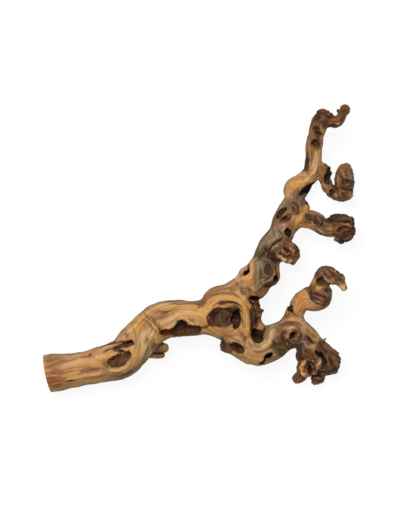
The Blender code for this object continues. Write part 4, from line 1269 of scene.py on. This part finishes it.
def wood_surface(look):
    """The finished skin: the cells' zero surface, moved along its normals by flutes, fibres,
    checks, winding burl creases, knots and strokes. Returns points, faces and what colours them."""
    cells = wood_cells(look.cell / MM)
    points, quads = skin_of(cells)
    normals = point_normals(points, quads)
    if np.median(cells.sample(points + 2.0 * normals) - cells.sample(points - 2.0 * normals)) < 0:
        quads, normals = quads[:, ::-1], -normals
    knot_places = np.array([knot[:2] for knot in KNOTS.values()], float)
    knot_places = np.column_stack([knot_places, top_heights(cells, knot_places)])
    centres = [*knot_places, *(np.array(hollow[0]) for hollow in HOLLOWS.values())]
    reaches = [max(knot[2:4]) for knot in KNOTS.values()]
    reaches += [0.8 * max(hollow[1][:2]) for hollow in HOLLOWS.values()]
    grain = grain_at(points, centres, reaches)
    grain[:, :2] += 1.6 * np.stack([noise(points / 28.0, 5), noise(points / 28.0, 6)], axis=1)

    stain_and_light, paint = Paint(len(points)), Paint(len(points))
    from_saw = (points - SAWN_CENTRE) @ unit(SAWN_FACING)
    sawn = step(-0.6, -0.2, from_saw)
    upward = step(-0.1, 0.35, normals[:, 2]) * (1.0 - sawn)
    ragged = 0.3 * noise(grain * (0.2, 0.2, 0.03), 41) + 0.2 * noise(points / 5.0, 42)
    lay_stains_and_painted_light(stain_and_light, points, ragged)

    gnarled = lay_burls(stain_and_light, points, ragged)
    hollow = lay_hollows(paint, points)
    smooth = (1.0 - gnarled) * (1.0 - 0.6 * hollow)
    along = grain * (1.0 / 9.0, 1.0 / 9.0, 1.0 / 110.0)
    valleys = 1.0 - step(0.0, 0.2, np.abs(noise(along * 1.7, 15)))
    flutes = look.flute_depth / MM * (cloud(along, 2, 11) - 0.6 * valleys)
    fibres = 0.28 * noise(grain * (0.42, 0.42, 0.02), 21)
    split = np.abs(noise(grain * (0.11, 0.11, 0.011), 25))
    dry = step(0.05, 0.35, noise(grain * (0.03, 0.03, 0.012), 26))
    checks = (1.0 - step(0.0, 0.07, split)) * dry
    folded = grain * (0.12, 0.12, 0.06) + 0.5 * noise(points / 8.0, 31)[:, None]
    wrinkles = 1.0 - step(0.0, 0.2, np.abs(noise(folded, 32)))
    carved = add_knots(paint, points, upward, cells) + add_strokes(paint, points, upward)
    height = smooth * (flutes + fibres - look.check_depth / MM * checks)
    height += gnarled * (0.7 * noise(points / 3.4, 33) - look.burl_depth / MM * wrinkles)
    height += 0.5 * hollow * noise(points / 4.5, 34) + carved
    height *= 1.0 - step(-4.0, -0.6, from_saw) * 0.6
    cracked = sawn_checks(points) * sawn
    height = np.where(sawn > 0.5, -0.9 * cracked, height)
    moved = points + normals * height[:, None]
    floor = np.where(points[:, 2] < 0.05, points[:, 2], moved[:, 2])
    moved[:, 2] = np.maximum(floor, 0.0)

    # How shut in each point is by the wood round it; the material darkens these places as painted
    # shade.
    shut = 0.0
    for reach in (3.0, 6.0, 12.0):
        shut = shut + np.clip(1.0 - cells.sample(moved + normals * reach) / reach, 0.0, 1.5) / 3.0
    marks = {
        "hollow": hollow,
        "gnarled": gnarled,
        "crease": np.maximum(smooth * checks * 0.8, np.maximum(gnarled * wrinkles, cracked)),
        "cavity_shade": shut,
        "sawn": sawn,
        "relief": height,
        "flank_stain_and_shade": 1.0 - step(0.05, 0.75, normals[:, 2]),
    }
    return moved, quads, grain, {"stain_and_light": stain_and_light.values(), "paint": paint.values()}, marks


def make_mesh(name, points, quads, grain, colours, marks):
    """Puts a worked-out surface, in the tables' millimetres, into a mesh in metres."""
    mesh = bpy.data.meshes.new(name)
    mesh.vertices.add(len(points))
    mesh.loops.add(quads.size)
    mesh.polygons.add(len(quads))
    mesh.vertices.foreach_set("co", ((points + ORIGIN_SHIFT) * MM).astype(np.float32).ravel())
    mesh.loops.foreach_set("vertex_index", quads.astype(np.int32).ravel())
    mesh.polygons.foreach_set("loop_start", np.arange(0, quads.size, 4, dtype=np.int32))
    mesh.update(calc_edges=True)
    mesh.validate()
    mesh.shade_smooth()
    layer = mesh.attributes.new("grain", "FLOAT_VECTOR", "POINT")
    layer.data.foreach_set("vector", (grain * MM).astype(np.float32).ravel())
    for title, values in colours.items():
        layer = mesh.attributes.new(title, "FLOAT_COLOR", "POINT")
        layer.data.foreach_set("color", values.astype(np.float32).ravel())
    for title, values in marks.items():
        layer = mesh.attributes.new(title, "FLOAT", "POINT")
        layer.data.foreach_set("value", np.asarray(values, np.float32))
    return mesh


class Value:
    """A shader socket, with Python's arithmetic on it as Math nodes."""

    def __init__(self, nodes, socket):
        self.nodes = nodes
        self.socket = socket

    def _with(self, operation, first, second):
        return self.nodes.add("ShaderNodeMath", {"operation": operation}, {0: first, 1: second})

    def __add__(self, other):
        return self._with("ADD", self, other)

    __radd__ = __add__

    def __sub__(self, other):
        return self._with("SUBTRACT", self, other)

    def __rsub__(self, other):
        return self._with("SUBTRACT", other, self)

    def __mul__(self, other):
        return self._with("MULTIPLY", self, other)

    __rmul__ = __mul__


class Nodes:
    """A material's or a world's nodes, added one call at a time."""

    def __init__(self, owner):
        owner.use_nodes = True
        self.tree = owner.node_tree

    def add(self, kind, settings=None, values=None, output=0):
        """Adds a node: its settings first, then its sockets' values or links."""
        node = self.tree.nodes.new(kind)
        for name, setting in (settings or {}).items():
            setattr(node, name, setting)
        for name, value in (values or {}).items():
            if isinstance(value, Value):
                self.tree.links.new(value.socket, node.inputs[name])
            else:
                node.inputs[name].default_value = value
        return Value(self, node.outputs[output])

    def attribute(self, name, output="Fac"):
        """What make_mesh stored on the points under a name."""
        return self.add("ShaderNodeAttribute", {"attribute_name": name}, output=output)

    def mix(self, first, second, share):
        """One colour turned into another by a share."""
        return self.add(
            "ShaderNodeMix", {"data_type": "RGBA"}, {0: share, 6: first, 7: second}, output=2
        )

    def times(self, colour, other):
        """One colour multiplied by another."""
        settings = {"data_type": "RGBA", "blend_type": "MULTIPLY"}
        return self.add("ShaderNodeMix", settings, {0: 1.0, 6: colour, 7: other}, output=2)

    def stretched(self, vector, scale):
        """Coordinates multiplied by a scale along each axis."""
        return self.add("ShaderNodeMapping", {}, {"Vector": vector, "Scale": scale})

    def noise(self, vector, scale, detail, roughness):
        """Blender's fractal noise, from 0 to 1."""
        values = {"Vector": vector, "Scale": scale, "Detail": detail, "Roughness": roughness}
        return self.add("ShaderNodeTexNoise", {}, values)

    def rise(self, value, low, high):
        """0 below low, 1 above high, and an S curve between them."""
        settings = {"interpolation_type": "SMOOTHSTEP"}
        return self.add(
            "ShaderNodeMapRange", settings, {"Value": value, "From Min": low, "From Max": high}
        )


def tone(name):
    """A tone as a shader colour."""
    return (*TONES[name], 1.0)


def cut_face_colour(nodes, place, patches, blotches):
    """Growth rings: a sine of the distance from the pith, put out a little by the blotches. The
    pith itself is dark."""
    pith = tuple((SAWN_CENTRE + ORIGIN_SHIFT) * MM)
    distance = {"operation": "DISTANCE"}
    out = nodes.add("ShaderNodeVectorMath", distance, {0: place, 1: pith}, output=1)
    rings = nodes.add("ShaderNodeMath", {"operation": "SINE"}, {0: out * RINGS + blotches * 5.0})
    colour = nodes.mix(tone("pale"), tone("umber"), nodes.rise(rings, -0.1, 1.0) * 0.75)
    colour = nodes.mix(colour, tone("pink"), nodes.rise(patches + blotches, 0.85, 1.15) * 0.5)
    return nodes.mix(colour, tone("umber"), nodes.rise(out * (1.0 / MM), PITH, 0.3 * PITH))


def wood_material(look):
    """Bare, dry wood. Streaks run with the grain; stains, burls, pockets, creases and the sawn end
    each lay their own colour over it. Painted light is laid on too: shade on steep sides, in
    creases, in low places and in shut-in places, and highlights on what stands proud."""
    material = bpy.data.materials.new("weathered_wood")
    nodes = Nodes(material)
    shader = nodes.tree.nodes["Principled BSDF"]
    place = nodes.add("ShaderNodeTexCoord", output="Object")
    grain = nodes.attribute("grain", "Vector")
    hollow, gnarled, crease, cavity_shade, sawn, relief, flank_stain_and_shade = (
        nodes.attribute(name)
        for name in ("hollow", "gnarled", "crease", "cavity_shade", "sawn", "relief", "flank_stain_and_shade")
    )

    bands = nodes.noise(nodes.stretched(grain, (1.0, 1.0, 0.09)), 95.0, 3.0, 0.55)
    streaks = nodes.noise(nodes.stretched(grain, (1.0, 1.0, 0.05)), 300.0, 3.0, 0.6)
    fibres = nodes.noise(nodes.stretched(grain, (1.0, 1.0, 0.035)), 1100.0, 2.0, 0.6)
    patches = nodes.noise(place, 22.0, 3.0, 0.55)
    blotches = nodes.noise(place, 75.0, 3.0, 0.6)
    specks = nodes.noise(place, 420.0, 2.0, 0.6)

    bare, golden, streak = (
        (*colour, 1.0) for colour in (look.bare_colour, look.golden_colour, look.streak_colour)
    )
    colour = nodes.mix(bare, golden, nodes.rise(patches, 0.42, 0.6))
    colour = nodes.mix(colour, tone("pink"), nodes.rise(bands, 0.5, 0.7) * 0.7)
    colour = nodes.mix(colour, tone("pale"), nodes.rise(bands, 0.48, 0.3) * 0.5)
    # The stains, among them a few patches of painted shade and painted light, laid over the bare
    # wood.
    stain_and_light_cover = nodes.attribute("stain_and_light", "Alpha")
    share = nodes.rise(stain_and_light_cover + (bands + blotches - 1.0) * 0.9, 0.15, 0.75) * stain_and_light_cover
    colour = nodes.mix(colour, nodes.attribute("stain_and_light", "Color"), share * 0.6 + stain_and_light_cover * 0.4)
    clean = 1.0 - gnarled
    colour = nodes.mix(colour, streak, nodes.rise(streaks, 0.52, 0.66) * clean * 0.6)
    colour = nodes.mix(colour, tone("pale"), nodes.rise(streaks, 0.46, 0.34) * clean * 0.5)
    # Burls go pinker where they stand proud: their own colour and a painted highlight.
    burl = nodes.mix(tone("umber"), tone("pink"), nodes.rise(blotches + relief * 0.12, 0.35, 0.8))
    colour = nodes.mix(colour, burl, gnarled * 0.6)
    # Steep sides go browner and olive: partly weathering on the sides, partly painted shade where
    # the lamp overhead falls off.
    flank_stain_and_shade = flank_stain_and_shade * (1.0 - sawn)
    colour = nodes.mix(colour, tone("brown"), flank_stain_and_shade * nodes.rise(patches + bands, 0.75, 1.1) * 0.5)
    colour = nodes.mix(colour, tone("olive"), nodes.rise(flank_stain_and_shade, 0.5, 1.0) * 0.55)
    colour = nodes.mix(colour, cut_face_colour(nodes, place, patches, blotches), sawn)
    colour = nodes.mix(colour, nodes.attribute("paint", "Color"), nodes.attribute("paint", "Alpha"))
    flaked = nodes.rise(blotches + streaks * 0.5, 0.72, 0.95) * hollow
    colour = nodes.mix(colour, tone("brown"), flaked * 0.55)
    # Checks, burl creases and sawn cracks go near black: dark cracks and dirt, and painted shade in
    # them.
    colour = nodes.mix(colour, tone("black"), nodes.rise(crease, 0.2, 1.0) * 0.75)
    # Painted highlight on what stands proud, and painted shade with dirt in what lies low.
    painted_ridge_highlight = nodes.rise(relief, 0.8, 2.4) * (1.0 - flank_stain_and_shade) * (0.3 + gnarled * 0.25)
    colour = nodes.mix(colour, tone("pale"), painted_ridge_highlight)
    colour = nodes.mix(colour, tone("umber"), nodes.rise(relief, -0.5, -2.2) * 0.55)
    # Painted shade: near black where the wood is shut in by its own shape.
    colour = nodes.mix(colour, tone("black"), nodes.rise(cavity_shade, 0.5, 1.1) * 0.65)
    colour = nodes.mix(colour, tone("pale"), nodes.rise(specks, 0.66, 0.8) * (1.0 - hollow) * 0.25)
    colour = nodes.mix(colour, tone("umber"), nodes.rise(specks, 0.36, 0.22) * 0.35)

    deep = nodes.add("ShaderNodeGamma", {}, {"Color": colour, "Gamma": CONTRAST})
    colour = nodes.times(deep, LIFT)
    nodes.tree.links.new(colour.socket, shader.inputs["Base Color"])
    shader.inputs["Specular IOR Level"].default_value = 0.22
    roughness = 0.5 + streaks * 0.2 + hollow * 0.15
    nodes.tree.links.new(roughness.socket, shader.inputs["Roughness"])
    bump_height = fibres * 0.5 + streaks * 0.8 + specks * gnarled * 0.8
    bump_values = {"Height": bump_height, "Strength": 0.9, "Distance": 0.0006}
    bump = nodes.add("ShaderNodeBump", {}, bump_values)
    nodes.tree.links.new(bump.socket, shader.inputs["Normal"])
    return material


def make_wood(look):
    """The whole piece of wood, which grew as one, in place of the CAD node."""
    mesh = make_mesh("dry_root_wood", *wood_surface(look))
    if not mesh.polygons:
        raise RuntimeError("the wood has no skin")
    mesh.materials.append(wood_material(look))
    wood = bpy.data.objects.new("dry_root_wood", mesh)
    bpy.context.scene.collection.objects.link(wood)
    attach(wood, "root")
    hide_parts(NODE)
    thin = wood.modifiers.new("fewer_faces", "DECIMATE")
    thin.ratio = min(1.0, TRIANGLES / (2.0 * len(mesh.polygons)))


def make_stage(look):
    """A pale floor, a bright even surrounding, one broad lamp and the camera overhead."""
    scene = bpy.context.scene
    mesh = bpy.data.meshes.new("floor")
    around = ((-1, -1), (1, -1), (1, 1), (-1, 1))
    corners = [(x * FLOOR_HALF, y * FLOOR_HALF, -FLOOR_DROP) for x, y in around]
    mesh.from_pydata(corners, [], [(0, 1, 2, 3)])
    floor = bpy.data.objects.new("floor", mesh)
    scene.collection.objects.link(floor)
    floor.visible_diffuse = False
    material = bpy.data.materials.new("pale_floor")
    shader = Nodes(material).tree.nodes["Principled BSDF"]
    shader.inputs["Base Color"].default_value = (*look.floor_colour, 1.0)
    shader.inputs["Roughness"].default_value = 0.9
    shader.inputs["Specular IOR Level"].default_value = 0.0
    shader.inputs["Emission Color"].default_value = (1.0, 1.0, 1.0, 1.0)
    shader.inputs["Emission Strength"].default_value = FLOOR_GLOW
    mesh.materials.append(material)

    world = bpy.data.worlds.new("studio")
    nodes = Nodes(world)
    background = nodes.tree.nodes["Background"]
    background.inputs["Color"].default_value = (1.0, 1.0, 1.0, 1.0)
    background.inputs["Strength"].default_value = look.surround
    scene.world = world

    lamp = bpy.data.lights.new("softbox", "AREA")
    lamp.shape = "DISK"
    lamp.size = look.lamp_size
    lamp.energy = look.lamp_power
    softbox = bpy.data.objects.new("softbox", lamp)
    softbox.location = LAMP_PLACE
    softbox.rotation_euler = Vector(LAMP_PLACE).to_track_quat("Z", "Y").to_euler()
    scene.collection.objects.link(softbox)

    camera = bpy.data.objects.new("camera", bpy.data.cameras.new("camera"))
    camera.data.lens = LENS
    camera.location = CAMERA_PLACE
    scene.collection.objects.link(camera)
    scene.camera = camera
    scene.view_settings.view_transform = "Standard"


class DryRootWoodLook(bpy.types.PropertyGroup):
    """Sizes and colours of the wood."""

    cell: bpy.props.FloatProperty(
        name="Cell",
        description="Width of the grid cells that the skin is drawn through",
        default=0.00125,
        min=0.001,
        max=0.005,
        unit="LENGTH",
    )
    flute_depth: bpy.props.FloatProperty(
        name="Flutes",
        description="How far the flutes along the grain rise and fall",
        default=0.0008,
        min=0.0,
        max=0.003,
        unit="LENGTH",
    )
    check_depth: bpy.props.FloatProperty(
        name="Checks",
        description="How deep the drying cracks along the grain are",
        default=0.0013,
        min=0.0,
        max=0.004,
        unit="LENGTH",
    )
    burl_depth: bpy.props.FloatProperty(
        name="Burls",
        description="How deep the creases of the burls are",
        default=0.0017,
        min=0.0,
        max=0.004,
        unit="LENGTH",
    )
    bare_colour: bpy.props.FloatVectorProperty(
        name="Bare wood",
        description="Colour of most of the bare wood",
        default=TONES["tan"],
        min=0.0,
        max=1.0,
        subtype="COLOR",
    )
    golden_colour: bpy.props.FloatVectorProperty(
        name="Golden wood",
        description="Colour of the warmer patches of the bare wood",
        default=TONES["ochre"],
        min=0.0,
        max=1.0,
        subtype="COLOR",
    )
    streak_colour: bpy.props.FloatVectorProperty(
        name="Streaks",
        description="Colour of the dark streaks along the grain",
        default=TONES["brown"],
        min=0.0,
        max=1.0,
        subtype="COLOR",
    )


class DryRootStageLook(bpy.types.PropertyGroup):
    """Light and floor of the stage."""

    lamp_size: bpy.props.FloatProperty(
        name="Lamp size",
        description="Width of the round lamp overhead",
        default=1.1,
        min=0.1,
        unit="LENGTH",
    )
    lamp_power: bpy.props.FloatProperty(
        name="Lamp power",
        description="Power of the lamp overhead",
        default=25.0,
        min=0.0,
        unit="POWER",
    )
    surround: bpy.props.FloatProperty(
        name="Surround",
        description="Strength of the even light from all round",
        default=0.27,
        min=0.0,
        subtype="FACTOR",
    )
    floor_colour: bpy.props.FloatVectorProperty(
        name="Floor",
        description="Colour of the floor, which also glows evenly",
        default=(0.14, 0.14, 0.14),
        min=0.0,
        max=1.0,
        subtype="COLOR",
    )


class DryRootMakeWood(bpy.types.Operator):
    """Makes the piece of wood and its finish"""

    bl_idname = "dry_root.make_wood"
    bl_label = "Make the wood"

    def execute(self, context):
        make_wood(context.scene.dry_root_wood)
        return {"FINISHED"}


class DryRootMakeStage(bpy.types.Operator):
    """Makes the floor, the lights and the camera"""

    bl_idname = "dry_root.make_stage"
    bl_label = "Make the stage"

    def execute(self, context):
        make_stage(context.scene.dry_root_stage)
        return {"FINISHED"}


class DryRootPanel(bpy.types.Panel):
    """Lists what can be made and changed"""

    bl_idname = "VIEW3D_PT_dry_root"
    bl_label = "Dry root"
    bl_space_type = "VIEW_3D"
    bl_region_type = "UI"
    bl_category = "Dry root"

    def draw(self, context):
        groups = ((DryRootMakeWood, "dry_root_wood"), (DryRootMakeStage, "dry_root_stage"))
        for operator, title in groups:
            look = getattr(context.scene, title)
            box = self.layout.box()
            for name in look.__annotations__:
                box.prop(look, name)
            box.operator(operator.bl_idname)


CLASSES = (DryRootWoodLook, DryRootStageLook, DryRootMakeWood, DryRootMakeStage, DryRootPanel)


def register():
    for cls in CLASSES:
        bpy.utils.register_class(cls)
    bpy.types.Scene.dry_root_wood = bpy.props.PointerProperty(type=DryRootWoodLook)
    bpy.types.Scene.dry_root_stage = bpy.props.PointerProperty(type=DryRootStageLook)


def unregister():
    del bpy.types.Scene.dry_root_stage
    del bpy.types.Scene.dry_root_wood
    for cls in reversed(CLASSES):
        bpy.utils.unregister_class(cls)


def main():
    """Registers the classes and makes the wood and the stage."""
    register()
    bpy.ops.dry_root.make_wood()
    bpy.ops.dry_root.make_stage()


if __name__ == "__main__":
    main()
